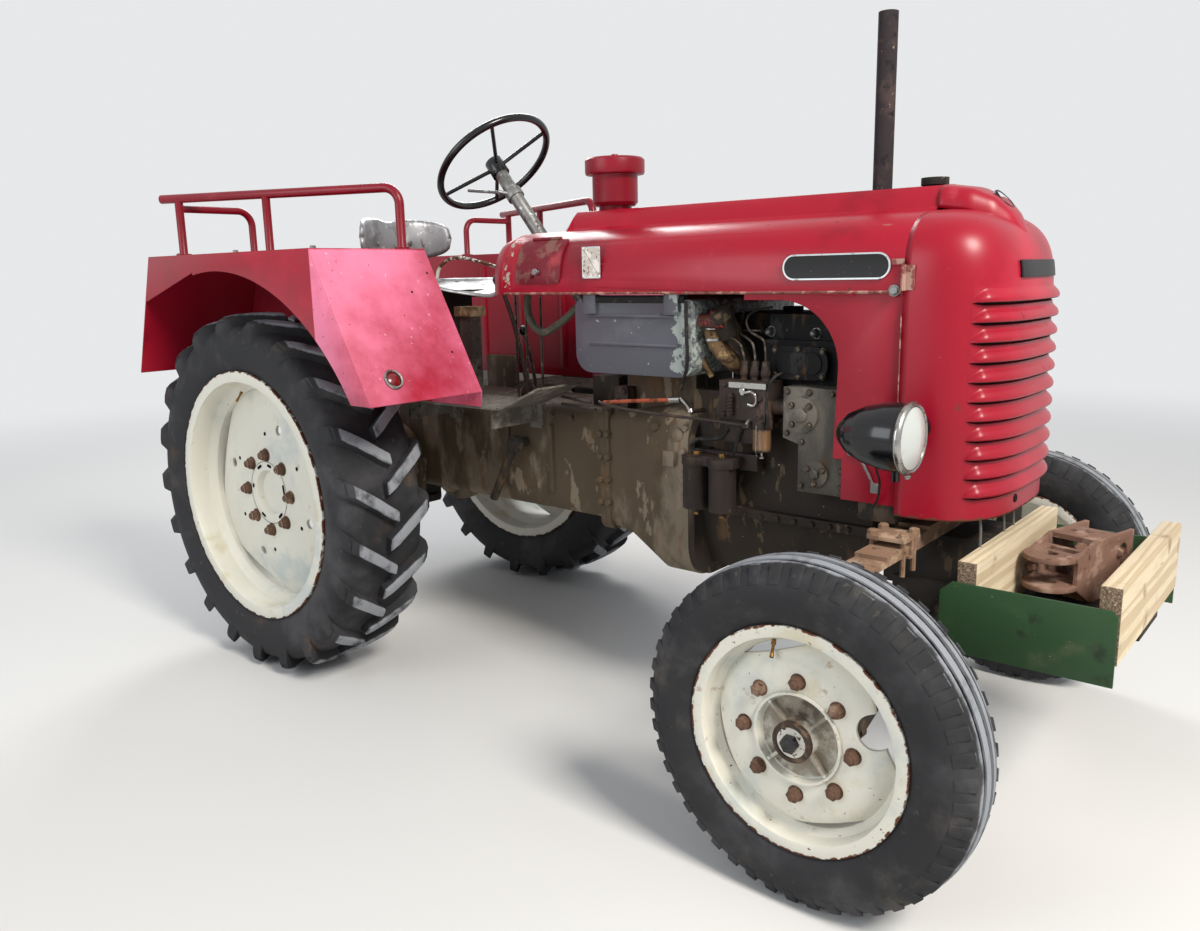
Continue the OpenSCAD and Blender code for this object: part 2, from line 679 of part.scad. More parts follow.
// Shoulder from the foot of the side, at angle 0, to the middle, at angle 90
function shoulder_pt(a, inset) = [
    (bonnet_half_w - inset) * rolled(cos(a), 4), shoulder_z + (shoulder_h - inset) * rolled(sin(a), 4)
];
shoulder_angles = [10, 18, 27, 36, 45, 54, 63, 72, 81, 90];

module bonnet_section(inset, foot) {
    rolled_part = [for (a = shoulder_angles) shoulder_pt(a, inset)];
    half = concat([[bonnet_half_w - inset, foot]], [for (p = rolled_part) if (p[1] > foot + 2) p]);
    polygon(concat(half, [for (i = [len(half) - 2 : -1 : 0]) [-half[i][0], half[i][1]]]));
}

module ridge_section(inset) {
    r = ridge_w - inset;
    top = bonnet_top - inset;
    foot = shoulder_z + shoulder_h - inset;
    polygon([
        [-r - 34, 1250], [r + 34, 1250], [r + 34, foot - 3], [r + 16, foot + 6], [r + 4, top - 22],
        [r - 14, top - 6], [0, top], [14 - r, top - 6], [-r - 4, top - 22], [-r - 16, foot + 6],
        [-r - 34, foot - 3]
    ]);
}

// Hatch opening in the right side of the bonnet
hatch_x0 = bonnet_rear + 68;
hatch_x1 = hatch_x0 + 134;
hatch_z0 = 1182;
hatch_z1 = 1274;
hatch_lap = 14;
hatch_t = 4;

module hatch_window(grow, y0) {
    translate([(hatch_x0 + hatch_x1) / 2, y0, (hatch_z0 + hatch_z1) / 2]) plate_y(-200, 0)
        round_rect(hatch_x1 - hatch_x0 + 2 * grow, hatch_z1 - hatch_z0 + 2 * grow, 18);
}

ridge_start = bonnet_rear + 110;

module bonnet() {
    color(red) placed() {
        difference() {
            union() {
                plate_x(bonnet_rear, seam_x) bonnet_section(0, bonnet_z);
                plate_x(ridge_start, seam_x) ridge_section(0);
                hull() {
                    plate_x(ridge_start - 60, ridge_start - 58)
                        translate([0, shoulder_z + shoulder_h - 30]) square([130, 30], center = true);
                    plate_x(ridge_start, ridge_start + 1) intersection() {
                        ridge_section(0);
                        translate([-300, 1280]) square([600, 200]);
                    }
                }
            }
            plate_x(bonnet_rear - 1, seam_x + 1) bonnet_section(sheet_t, bonnet_z - 20);
            plate_x(ridge_start + 6, seam_x + 1) ridge_section(sheet_t);
            hatch_window(0, -100);
            translate([exhaust_x, 0, 1250]) cylinder(r = exhaust_r + 7, h = 200, $fn = 64);
            translate([cleaner_x, 0, 1250]) cylinder(r = cleaner_pipe_r + seat_gap, h = 200, $fn = 64);
            translate([neck_x, 0, 1250]) cylinder(r = neck_r + 4, h = 200, $fn = 64);
        }
    }
}

// Hatch lid: follows the curve of the side and turns up on a barrel along its upper edge
hinge_r = 5;
hatch_top_angle = 48;
hinge_pt = shoulder_pt(hatch_top_angle, -hinge_r - 0.6);

// Outward normal of the shoulder at angle a, in Y and Z of the left side
function shoulder_normal(a) =
    let (n = [pow(rolled(cos(a), 4), 3) / bonnet_half_w, pow(rolled(sin(a), 4), 3) / shoulder_h]) n / norm(n);

// Everything on the right side below the plane through the hinge
module below_hinge() {
    n = shoulder_normal(hatch_top_angle);
    plate_x(0, 2000) translate([-hinge_pt[0], hinge_pt[1]]) rotate(atan2(n[1], -n[0]))
        translate([-300, 0]) square([600, 600]);
}

module bonnet_hatch() {
    color("#7c2229") placed() {
        difference() {
            intersection() {
                plate_x(hatch_x0 - 20, hatch_x1 + 20) bonnet_section(-0.5 - hatch_t, bonnet_z);
                hatch_window(hatch_lap, -100);
                below_hinge();
            }
            plate_x(hatch_x0 - 30, hatch_x1 + 30) bonnet_section(-0.5, bonnet_z - 20);
        }
        bar([hatch_x0 + 16, -hinge_pt[0], hinge_pt[1]], [hatch_x1 - 16, -hinge_pt[0], hinge_pt[1]], hinge_r);
        translate([hatch_x0 + 48, -bonnet_half_w - 4, hatch_z0 + 8]) sphere(r = 7, $fn = 32);
    }
}

// Cowl: the rounded rear end of the bonnet, with the opening for the steering column
column_hub = [bonnet_rear - 283, 0, 1535];
column_dir = [sin(steer_tilt), 0, -cos(steer_tilt)];
column_r = 21;

module cowl_form(inset) {
    hull() {
        plate_x(bonnet_rear - 12, bonnet_rear - seat_gap) bonnet_section(inset, bonnet_z + (inset > 0 ? -10 : 0));
        plate_x(bonnet_rear - 52 + inset, bonnet_rear - 50 + inset) scale([0.96, 1])
            intersection() {
                bonnet_section(inset + 8, bonnet_z + (inset > 0 ? -10 : 0));
                translate([-300, 1000]) square([600, 296]);
            }
        plate_x(bonnet_rear - 82 + inset, bonnet_rear - 80 + inset) scale([0.86, 1]) intersection() {
            bonnet_section(inset + 16, bonnet_z + (inset > 0 ? -10 : 14));
            translate([-300, 1000]) square([600, 262]);
        }
    }
}

module cowl() {
    color(red) placed() {
        difference() {
            cowl_form(0);
            difference() {
                cowl_form(sheet_t);
                plate_x(bonnet_rear - 90, bonnet_rear - 60) bonnet_section(-50, bonnet_z - 60);
            }
            translate(column_hub) rotate([0, 180 - steer_tilt, 0])
                cylinder(r = column_r + 5, h = 600, $fn = 64);
        }
    }
}

// Grille mask: one deep pressing that bulges ahead of the seam and closes in a dome over the shoulder.
// Its front is slit and pushed out into louvres: each strip starts in a proud lip, open below, and runs
// back up to the sheet, and towards its two ends every louvre fades into the sheet in a point.
mask_n = 3;
mask_half_w = bonnet_half_w;
mask_foot_h = 50;
louvre_end = 55;
louvre_top = 1159.8;

// Point of the shell at height z, with the turn s from -90 to 90 round its front, and with a wall inset
function mask_reach(z, s, inset) =
    let (rise = z > shoulder_z ? min(1, (z - shoulder_z) / (shoulder_h - inset)) : 0,
         side = sign(s) * pow(abs(sin(s)), 2 / mask_n),
         half = (mask_half_w - inset) * pow(1 - pow(rise, 4), 0.25),
         rho = pow(pow(abs(side), 4) * (1 - pow(rise, 4)) + pow(rise, 4), 0.25),
         ahead = pow(max(0, 1 - pow(rho, mask_n)), 1 / mask_n))
    [seam_x + seat_gap + (mask_depth - 14 - inset) * ahead, half * side, z];

// Point that lies a distance out of the sheet, level with height z
function off_mask(z, s, out) =
    let (d = mask_reach(z, min(90, s + 2), 0) - mask_reach(z, max(-90, s - 2), 0))
    mask_reach(z, s, 0) + out * [d[1], -d[0], 0] / norm([d[0], d[1]]);

// Closed wall between two grids of points; rows run from low to high, columns from right to left
module walled(outer, inner) {
    rows = len(outer);
    cols = len(outer[0]);
    m = rows * cols;
    function id(i, j) = i * cols + j;
    function quads(di, dj) = [for (i = [0 : rows - 2], j = [0 : cols - 2])
        [di + id(i, j), di + id(i + 1 - dj, j + dj), di + id(i + 1, j + 1), di + id(i + dj, j + 1 - dj)]];
    polyhedron(
        points = concat([for (row = outer) each row], [for (row = inner) each row]),
        faces = concat(quads(0, 0), quads(m, 1),
            [for (j = [0 : cols - 2]) [id(0, j), id(0, j + 1), m + id(0, j + 1), m + id(0, j)]],
            [for (j = [0 : cols - 2], i = rows - 1) [id(i, j), m + id(i, j), m + id(i, j + 1), id(i, j + 1)]],
            [for (i = [0 : rows - 2]) [id(i, 0), m + id(i, 0), m + id(i + 1, 0), id(i + 1, 0)]],
            [for (i = [0 : rows - 2], j = cols - 1) [id(i, j), id(i + 1, j), m + id(i + 1, j), m + id(i, j)]]));
}

// Part of the shell between the given heights and turns
module mask_sheet(heights, turns) {
    walled([for (z = heights) [for (s = turns) mask_reach(z, s, 0)]],
        [for (z = heights) [for (s = turns) mask_reach(z, s, sheet_t)]]);
}

// How far a louvre stands proud at turn s, as a share
function louvre_fade(s) =
    let (left = 1 - abs(s) / louvre_end) left <= 0 ? 0 : pow(min(1, left / 0.16), 0.55);

// One strip of the front from its lip, just over a slit at height z, up to the next slit
module louvre(z, pitch) {
    // columns: share of the pitch above the slit, distance out of the sheet
    hood = [[0, 10], [0.1, 14], [0.3, 12.5], [0.5, 6.5], [0.72, 0], [1.01, 0]];
    turns = concat(
        [-louvre_end - 1, -louvre_end + 2],
        [for (k = [-6 : 6]) k * louvre_end / 7],
        [louvre_end - 2, louvre_end + 1]);
    function row(p, inset) = [for (s = turns) off_mask(z + p[0] * pitch, s, p[1] * louvre_fade(s) - inset)];
    walled([for (p = hood) row(p, 0)], [for (p = hood) row(p, sheet_t)]);
}

module grille_mask() {
    foot_top = mask_z + mask_foot_h;
    pitch = (louvre_top - foot_top) / louvre_count;
    full_turn = [for (s = [-90 : 7.5 : 90]) s];
    side_turn = [for (k = [0 : 6]) louvre_end - 1 + k * (91 - louvre_end) / 6];
    dome = [for (k = [0 : 9]) louvre_top - 1 + (shoulder_z + shoulder_h - 5 - louvre_top) * sin(k * 10)];
    color(red) placed() {
        mask_sheet([mask_z, foot_top], full_turn);
        both_sides() mask_sheet([foot_top - 1, louvre_top], side_turn);
        for (k = [0 : louvre_count - 1]) louvre(foot_top + k * pitch, pitch);
        mask_sheet(dome, full_turn);
        mask_ridge();
    }
}

// Nose of the ridge: runs on over the dome and fades to a point
module mask_ridge() {
    // columns: share of the mask's depth ahead of the seam, half width, drop below the bonnet's ridge
    nose = [
        [0, 88, 4], [0.146, 85, 8], [0.29, 80, 14], [0.41, 72, 24], [0.505, 62, 36],
        [0.65, 42, 68], [0.757, 24, 108], [0.835, 9, 148], [0.874, 3, 174]
    ];
    for (i = [0 : len(nose) - 2]) hull() for (p = [nose[i], nose[i + 1]])
        translate([seam_x + seat_gap + p[0] * mask_depth, 0, bonnet_top - p[2] - 8]) rotate([0, 90, 0])
            linear_extrude(1) polygon(ridge_outline(p[1]));
}

// Outline of the ridge with half width w: flat on top, rolled down at both sides
function ridge_outline(w) = [
    [-8, -w * 0.5], [-4, -w * 0.86], [6, -w], [30, -w * 1.1],
    [30, w * 1.1], [6, w], [-4, w * 0.86], [-8, w * 0.5]
];

// Side panel below the bonnet, cut out in an arch beside the engine
panel_t = 4;
side_lean = 1.4;
panel_y = bonnet_half_w - sheet_t - side_lean - panel_t;
panel_top = bonnet_z + 12;

module side_panel() {
    x0 = engine_x + 130;
    plate_y(panel_y, panel_y + panel_t) difference() {
        translate([x0 + 68, bolster_top]) square([seam_x - x0 - 68, panel_top - bolster_top]);
        hull() {
            translate([x0, 600]) square([292, 300]);
            translate([x0 + 160, 980]) circle(r = 146, $fn = 64);
            translate([x0, 1000]) square([20, 126]);
        }
        translate([x0, 600]) square([320, 180]);
    }
    translate([seam_x - 14, panel_y - 16, 760]) cube([14, 17, panel_top - 760]);
}

// Saddle tank over the clutch housing
tank_x0 = engine_x - 328;
tank_x1 = engine_x + 55;
tank_z0 = 936;
tank_z1 = 1126;

module fuel_tank() {
    color("#5f646b") placed() {
        mid = (tank_x0 + tank_x1) / 2;
        plate_y(-245, 245) hull() {
            translate([mid, tank_z1 - 40]) round_rect(tank_x1 - tank_x0, 80, 20);
            translate([mid, tank_z0 + 60]) round_rect(tank_x1 - tank_x0, 120, 50);
        }
        for (s = [-1, 1], z = [1013, 1085]) bar([tank_x0 + 50, s * 243, z], [tank_x1 - 50, s * 243, z], 6);
        both_sides() for (x = [tank_x0 + 38, tank_x1 - 85]) translate([x, 236, tank_z1 - 36])
            cube([40, panel_y + panel_t - 236, panel_top - tank_z1 + 36]);
    }
}

// Headlamp: bullet body on a stub from the mask, lens and bezel ahead of it
lamp_x = wheelbase + 65;
lamp_z = 868;

module headlamp_body() {
    translate([lamp_x, lamp_y, lamp_z]) {
        rotate([0, -90, 0]) rotate_extrude($fn = 64) polygon([
            [0, 12], [lamp_r - 10, 12], [lamp_r - 10, 0], [lamp_r - 4, 0], [lamp_r - 3, 18], [lamp_r - 5, 44],
            [lamp_r - 14, 84], [lamp_r - 30, 118], [lamp_r - 48, 136], [14, 143], [0, 144]
        ]);
    }
    difference() {
        bar([lamp_x - 24, lamp_y - lamp_r + 14, lamp_z], [lamp_x - 40, bonnet_half_w - 10, lamp_z], 13);
        translate([lamp_x - 200, 0, lamp_z - 100]) cube([400, bonnet_half_w + 2, 200]);
    }
    bar([lamp_x - 36, bonnet_half_w + seat_gap, lamp_z], [lamp_x - 36, bonnet_half_w + 12, lamp_z], 30);
    bar([lamp_x - 20, lamp_y, lamp_z - lamp_r + 6], [lamp_x - 20, lamp_y, lamp_z - lamp_r - 16], 8);
}

module headlamp_lens() {
    translate([lamp_x, lamp_y, lamp_z]) rotate([0, 90, 0]) rotate_extrude($fn = 64) polygon([
        [0, -11], [lamp_r - 11, -11], [lamp_r - 11, seat_gap], [lamp_r, seat_gap],
        [lamp_r, 8], [lamp_r - 7, 14],
        [lamp_r - 12, 14], [lamp_r - 30, 20], [lamp_r - 52, 24], [0, 26]
    ]);
}

// Fender: sloped front and rear sheets, a flat top, an outer cheek cut in an arch and an inner panel
fender_t = 4;
fender_front_foot = [fender_front_x + 214, fender_z - 394];
fender_rear_foot = [fender_rear_x - 140, fender_z - 365];
arch_r = 721;
arch_z = fender_z - 50 - arch_r;
panel_foot = 836;

// Thin strip from point a to point b, thickness t on its right
module strip(a, b, t) {
    d = (b - a) / norm(b - a);
    n = [d[1], -d[0]] * t;
    polygon([a, b, b + n, a + n]);
}

module fender() {
    rear_top = [fender_rear_x, fender_z];
    front_top = [fender_front_x, fender_z];
    plate_y(fender_in, fender_out) {
        strip(fender_rear_foot, rear_top, fender_t);
        strip(rear_top, front_top, fender_t);
        strip(front_top, fender_front_foot, fender_t);
    }
    plate_y(fender_out - fender_t, fender_out) difference() {
        polygon([
            [fender_rear_x - 52, fender_z - 134], rear_top, front_top, fender_front_foot,
            fender_front_foot - [90, 0], [0, fender_z - 200]
        ]);
        translate([0, arch_z]) circle(r = arch_r, $fn = 180);
        polygon([[fender_rear_x - 90, fender_z - 150], [-120, fender_z - 52], [0, 900], [-500, 900]]);
    }
    plate_y(fender_in, fender_in + fender_t) polygon([
        fender_rear_foot, rear_top, front_top, fender_front_foot, [fender_front_foot[0] - 6, panel_foot],
        [-250, panel_foot]
    ]);
    for (x = [-60, 140, 340]) translate([x, fender_in - 6, panel_foot + 30]) cube([22, 7, 360]);
}

// Quarter bend of a tube, from level along +X to upright, with its corner at the origin
module down_bend(bend_r, r) {
    translate([-bend_r, 0, -bend_r]) rotate([90, 0, 0])
        rotate_extrude(angle = 90, $fn = 96) translate([bend_r, 0]) circle(r = r, $fn = 32);
}

// Tube of the given length that ends in a bend and a leg down to the fender
module hooped_tube(start, length, drop, r) {
    bend_r = 46;
    bar([start, 0, 0], [length - bend_r, 0, 0], r);
    translate([length, 0, 0]) down_bend(bend_r, r);
    bar([length, 0, -bend_r], [length, 0, -drop], r);
    translate([length, 0, -drop]) cylinder(r = 22, h = 5, $fn = 48);
}

module fender_rail() {
    rear = [-240, 698];
    front = [452, 418];
    cross_drop = 30;
    drop = rail_h - seat_gap;
    mid = 310;
    translate([rear[0], rear[1], fender_z + rail_h]) {
        rotate([0, 0, atan2(front[1] - rear[1], front[0] - rear[0])]) {
            hooped_tube(-62, norm(front - rear), drop, rail_r);
            for (x = [0, mid]) {
                bar([x, 0, 0], [x, 0, -drop], rail_r - 1);
                translate([x, 0, -drop]) cylinder(r = 22, h = 5, $fn = 48);
            }
        }
        translate([0, 0, -cross_drop]) rotate([0, 0, -90]) hooped_tube(0, 236, drop - cross_drop, rail_r - 2);
    }
}

// Steering gear on the gearbox: a block under the column and a side arm with the cross shaft
gear_x = clutch_x - 73;
gear_z = 770;
cross_r = 16;
cross_boss_y = gearbox_half_w + 25;

// Point on the column's axis at height z
function on_column(z) = column_hub + (column_hub[2] - z) / cos(steer_tilt) * column_dir;
column_foot_z = 945;

module steering_gear() {
    color(forged) placed() {
        z = gearbox_top + seat_gap;
        translate([gear_x - 40, -70, z]) cube([96, 140, 84]);
        bar(on_column(905), on_column(column_foot_z), 30);
        translate([gear_x - 24, 60, z]) cube([48, cross_boss_y - 60, 30]);
        translate([gear_x - 24, gearbox_half_w + seat_gap, gear_z]) cube([48, 24, z - gear_z + 4]);
        translate([gear_x, 0, gear_z]) axle(30, gearbox_half_w + seat_gap, cross_boss_y);
        translate([gear_x, 0, gear_z]) axle(cross_r, cross_boss_y - 4, cross_boss_y + 22);
    }
}

module steering_column() {
    color("#8f9290") placed() {
        top = column_hub + 46 * column_dir;
        bar(top, on_column(column_foot_z) - seat_gap * column_dir, column_r);
        bar(top + 70 * column_dir, top + 96 * column_dir, column_r + 6);
        bar(top + 84 * column_dir, top + 84 * column_dir + [-20, -52, 8], 6);
        bar(top + 84 * column_dir + [-16, -44, 6], top + 20 * column_dir + [-96, -64, -30], 5);
    }
}

module steering_wheel() {
    color("#1b1b1c") placed() {
        translate(column_hub) rotate([0, -steer_tilt, 0]) {
            rotate_extrude($fn = 96) translate([steer_r, 0]) circle(r = 11, $fn = 32);
            translate([0, 0, -46 + seat_gap]) cylinder(r = 28, h = 52, $fn = 48);
            for (a = [38, 142, 218, 322]) rotate([0, 0, a]) bar([20, 0, -16], [steer_r, 0, 0], 6);
        }
    }
}

// Pitman arm: hangs from the cross shaft, with a pin for the drag link
pitman_l = 200;
pitman_t = 16;
pitman_y = cross_boss_y + seat_gap;
link_pin_r = 9;
link_eye_y = pitman_y + pitman_t + seat_gap;
link_eye_w = 26;
link_rear = [gear_x, link_eye_y + link_eye_w / 2, gear_z - pitman_l];
link_front = [wheelbase, kingpin_y - drag_arm_l, drag_arm_z + 8 + seat_gap];

module pitman_arm() {
    color(forged) placed() {
        difference() {
            plate_y(pitman_y, pitman_y + pitman_t) hull() {
                translate([gear_x, gear_z]) circle(r = 30, $fn = 48);
                translate([gear_x, link_rear[2]]) circle(r = 20, $fn = 48);
            }
            translate([gear_x, 0, gear_z]) axle(cross_r + run_fit, 0, 400);
        }
        translate([gear_x, 0, link_rear[2]])
            axle(link_pin_r, pitman_y + pitman_t - 1, link_eye_y + link_eye_w + 3);
    }
}

// Drag link: its front eye rests on the knuckle's arm, the opened pivot
module drag_link() {
    color(forged) placed() {
        difference() {
            union() {
                translate([gear_x, 0, link_rear[2]]) axle(20, link_eye_y, link_eye_y + link_eye_w);
                bar(link_rear, link_front + [0, 0, 13], 12);
                translate(link_front) cylinder(r = 20, h = 26, $fn = 48);
            }
            translate([gear_x, 0, link_rear[2]]) axle(link_pin_r + run_fit, 0, 400);
        }
    }
}

// Seat: pressed pan with a rolled back on a stand bolted to the gearbox
seat_x = 120;
seat_z = 1150;
seat_back_r = 220;

module seat_stand() {
    color("#4a423a") placed() {
        translate([seat_x - 90, -70, gearbox_top + seat_gap]) cube([150, 140, 18]);
        plate_y(-34, 34) polygon([
            [seat_x - 40, gearbox_top + 10], [seat_x + 20, gearbox_top + 10], [seat_x + 120, seat_z - 60],
            [seat_x + 120, seat_z - 24], [seat_x - 60, seat_z - 24], [seat_x - 60, seat_z - 46],
            [seat_x + 50, seat_z - 60]
        ]);
        translate([seat_x - 70, -110, seat_z - 25]) cube([210, 220, 25 - seat_gap]);
    }
}

module seat_pan() {
    color(zinc) placed() {
        difference() {
            hull() {
                translate([seat_x + 130, 0, seat_z]) cylinder(r = 120, h = 3, $fn = 32);
                translate([seat_x + 40, 0, seat_z]) cylinder(r = 130, h = 3, $fn = 32);
                translate([seat_x + 150, 0, seat_z + 26]) cylinder(r = 150, h = 3, $fn = 32);
                for (s = [-1, 1]) translate([seat_x + 20, s * 50, seat_z + 34])
                    cylinder(r = 156, h = 3, $fn = 32);
            }
            hull() {
                translate([seat_x + 130, 0, seat_z + 5]) cylinder(r = 114, h = 3, $fn = 32);
                translate([seat_x + 40, 0, seat_z + 5]) cylinder(r = 124, h = 3, $fn = 32);
                translate([seat_x + 150, 0, seat_z + 40]) cylinder(r = 150, h = 3, $fn = 32);
                for (s = [-1, 1]) translate([seat_x + 20, s * 50, seat_z + 48])
                    cylinder(r = 156, h = 3, $fn = 32);
            }
        }
        // Curved back on two flat bars
        translate([seat_x - 30, 0, 0]) difference() {
            intersection() {
                translate([0, 0, seat_z + 100]) cylinder(r = seat_back_r, h = 150, $fn = 96);
                plate_x(-seat_back_r - 20, -90) {
                    for (s = [-1, 1]) translate([s * 108, seat_z + 176]) circle(r = 66, $fn = 64);
                    translate([-108, seat_z + 122]) square([216, 108]);
                }
            }
            translate([0, 0, seat_z + 90]) cylinder(r = seat_back_r - 5, h = 170, $fn = 96);
        }
        for (s = [-1, 1]) translate([seat_x - 236, s * 84 - 16, seat_z + 18]) {
            cube([6, 32, 150]);
            cube([130, 32, 6]);
        }
    }
}

// Footplates on brackets beside the gearbox
plate_z = 828;

module footplates() {
    color("#56524b") placed() {
        y0 = gearbox_half_w + 14;
        both_sides() {
            translate([300, y0, plate_z]) cube([440, fender_in - seat_gap - y0, 6]);
            translate([740, y0, plate_z]) rotate([0, -24, 0]) cube([150, fender_in - 30 - y0, 6]);
            for (x = [330, 690]) {
                translate([x, gearbox_half_w + seat_gap, plate_z - 60]) cube([8, 190, 60]);
                translate([x - 20, gearbox_half_w + seat_gap, plate_z - 80]) cube([48, 10, 70]);
            }
        }
    }
}

// Brake and clutch pedals on one cross shaft under the footplates, with their rods
module pedals() {
    color("#4d4841") placed() {
        z = 700;
        x = 640;
        y = gearbox_half_w + 50;
        both_sides() {
            translate([x, 0, z]) axle(14, gearbox_half_w + seat_gap, y + 20);
            translate([x, 0, z]) axle(24, y - 12, y + 12);
            bar([x, y, z], [x - 100, y, 520], 13);
        }
    }
}

// Towing jaw: a short channel that lies across the tongue, between the planks, with two rounded lugs at its
// mouth, a pin bore through both, and a cross hole near its far end. In its own frame the mouth faces +X.
jaw_x = bolster_front + 110;
jaw_turn = -105;
jaw_half_w = 57;
jaw_wall = 10;
jaw_l = 245;
jaw_z0 = tongue_z + tongue_t + seat_gap;
jaw_h = 140;
lug_t = 12;
lug_low = jaw_z0 + 40;
lug_high = jaw_z0 + 104;

module towing_jaw() {
    color("#7a5a4c") placed() translate([jaw_x, 0, 0]) rotate([0, 0, jaw_turn]) difference() {
        union() {
            for (z = [lug_low, lug_high]) translate([0, 0, z]) linear_extrude(lug_t) {
                circle(r = jaw_half_w, $fn = 96);
                translate([-72, -jaw_half_w]) square([72, 2 * jaw_half_w]);
            }
            both_sides() plate_y(jaw_half_w - jaw_wall, jaw_half_w) polygon([
                [-jaw_l, jaw_z0], [-70, jaw_z0], [-10, lug_low], [-10, lug_high + lug_t],
                [-84, jaw_z0 + jaw_h], [-jaw_l, jaw_z0 + jaw_h]
            ]);
            translate([-178, -jaw_half_w, jaw_z0 + jaw_h - lug_t]) cube([94, 2 * jaw_half_w, lug_t]);
            translate([-jaw_l, -jaw_half_w, jaw_z0]) cube([jaw_l - 70, 2 * jaw_half_w, lug_t]);
        }
        translate([0, 0, jaw_z0]) cylinder(r = jaw_pin_r, h = jaw_h, $fn = 64);
        translate([-200, 0, jaw_z0 + 98]) axle(17, -100, 100);
        translate([-56, -34, lug_high - 1]) cube([26, 68, lug_t + 2]);
    }
}

// Planks set on edge across the tongue, and the sheets that close their ends
plate_out = plank_l / 2;
plank_front_x = ballast_front - plank_t;
plank_rear_x = bolster_front + 8;
plank_foot = tongue_z + tongue_t + seat_gap;

module plank(x) { translate([x, -plate_out, plank_foot]) cube([plank_t, plank_l, plank_z - plank_foot]); }

module ballast_plates() {
    color("#1f4a2c") placed() {
        both_sides() plate_y(plate_out + seat_gap, plate_out + seat_gap + 6) polygon([
            [bolster_front, plank_z - 44], [ballast_front - 14, plank_z - 44],
            [ballast_front - 3, plank_z - 56],
            [ballast_front - 3, 412], [bolster_front + 20, 412], [bolster_front - 24, 450],
            [bolster_front - 24, plank_z - 66]
        ]);
    }
}

// Drawbar: perforated bar behind and below the gearbox, with its bracket
module rear_drawbar() {
    color(forged) placed() {
        z = 400;
        difference() {
            union() {
                translate([-400, -40, z]) cube([420, 80, 24]);
                translate([-400, 0, z]) cylinder(r = 40, h = 24, $fn = 64);
                for (x = [-160, -20]) translate([x, -60, z]) cube([20, 120, gearbox_z - z - seat_gap]);
            }
            translate([-400, 0, z - 1]) cylinder(r = drawbar_pin_r, h = 30, $fn = 64);
        }
    }
}

// Places of what turns: each wheel on its axle
module at_front_wheel() { translate([wheelbase, front_track / 2, front_axle_z]) children(); }

module at_rear_wheel() { translate([0, rear_track / 2, rear_axle_z]) children(); }

module at_front_axle() { translate([wheelbase, 0, 0]) children(); }

// Pieces made of the forms above, each in its place and colour
module knuckle_right() { color(forged) placed() at_front_axle() right_side() knuckle(false); }
module knuckle_left() { color(forged) placed() at_front_axle() knuckle(true); }
module front_hub_right() { color("#b9b3a2") placed() right_side() at_front_wheel() front_hub(); }
module front_hub_left() { color("#b9b3a2") placed() at_front_wheel() front_hub(); }
module front_rim_right() { color(cream) placed() right_side() at_front_wheel() front_rim(); }
module front_rim_left() { color(cream) placed() at_front_wheel() front_rim(); }
module front_tyre_right() { color(tyre_black) placed() right_side() at_front_wheel() front_tyre(); }
module front_tyre_left() { color(tyre_black) placed() at_front_wheel() front_tyre(); }
module rear_rim_right() { color(cream) placed() right_side() at_rear_wheel() rear_rim(); }
module rear_rim_left() { color(cream) placed() at_rear_wheel() rear_rim(); }
module rear_tyre_right() { color(tyre_black) placed() right_side() at_rear_wheel() rear_tyre(); }
module rear_tyre_left() { color(tyre_black) placed() at_rear_wheel() rear_tyre(); }
module fender_right() { color(red) placed() right_side() fender(); }
module fender_left() { color(red) placed() fender(); }
module fender_rails() { color("#8c2430") placed() both_sides() fender_rail(); }
module side_panels() { color(red) placed() both_sides() side_panel(); }
module headlamp_bodies() { color(lamp_black) placed() both_sides() headlamp_body(); }
module headlamp_lenses() { color("#dcdedd") placed() both_sides() headlamp_lens(); }
module planks() { color("#c8a878") placed() for (x = [plank_front_x, plank_rear_x]) plank(x); }

gearbox_housing();
axle_trumpets();
clutch_housing();
engine_block();
cylinder_head();
timing_case();
injection_pump();
fuel_filters();
exhaust_pipe();
air_cleaner();
radiator();
front_bolster();
leaf_spring();
lower_arms();
knuckle_right();
knuckle_left();
tie_rod();
pitman_arm();
drag_link();
front_hub_right();
front_hub_left();
front_rim_right();
front_rim_left();
front_tyre_right();
front_tyre_left();
rear_rim_right();
rear_rim_left();
rear_tyre_right();
rear_tyre_left();
fender_right();
fender_left();
fender_rails();
bonnet();
bonnet_hatch();
cowl();
grille_mask();
side_panels();
fuel_tank();
headlamp_bodies();
headlamp_lenses();
steering_gear();
steering_column();
steering_wheel();
seat_stand();
seat_pan();
footplates();
pedals();
towing_jaw();
planks();
ballast_plates();
rear_drawbar();
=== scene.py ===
# %% [markdown]
# A farm tractor of the nineteen-fifties, dressed for a photograph.
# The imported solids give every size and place. This lesson adds what a camera sees on them:
# paint that chips and fades, cast iron under oil, rubber with dust in it, and the small
# pressed, bolted and bent pieces that make an old machine look like itself.

# %% Load the frame
import math
from dataclasses import dataclass

import bmesh
import bpy
import numpy as np
from mathutils import Matrix, Vector
from mathutils.bvhtree import BVHTree


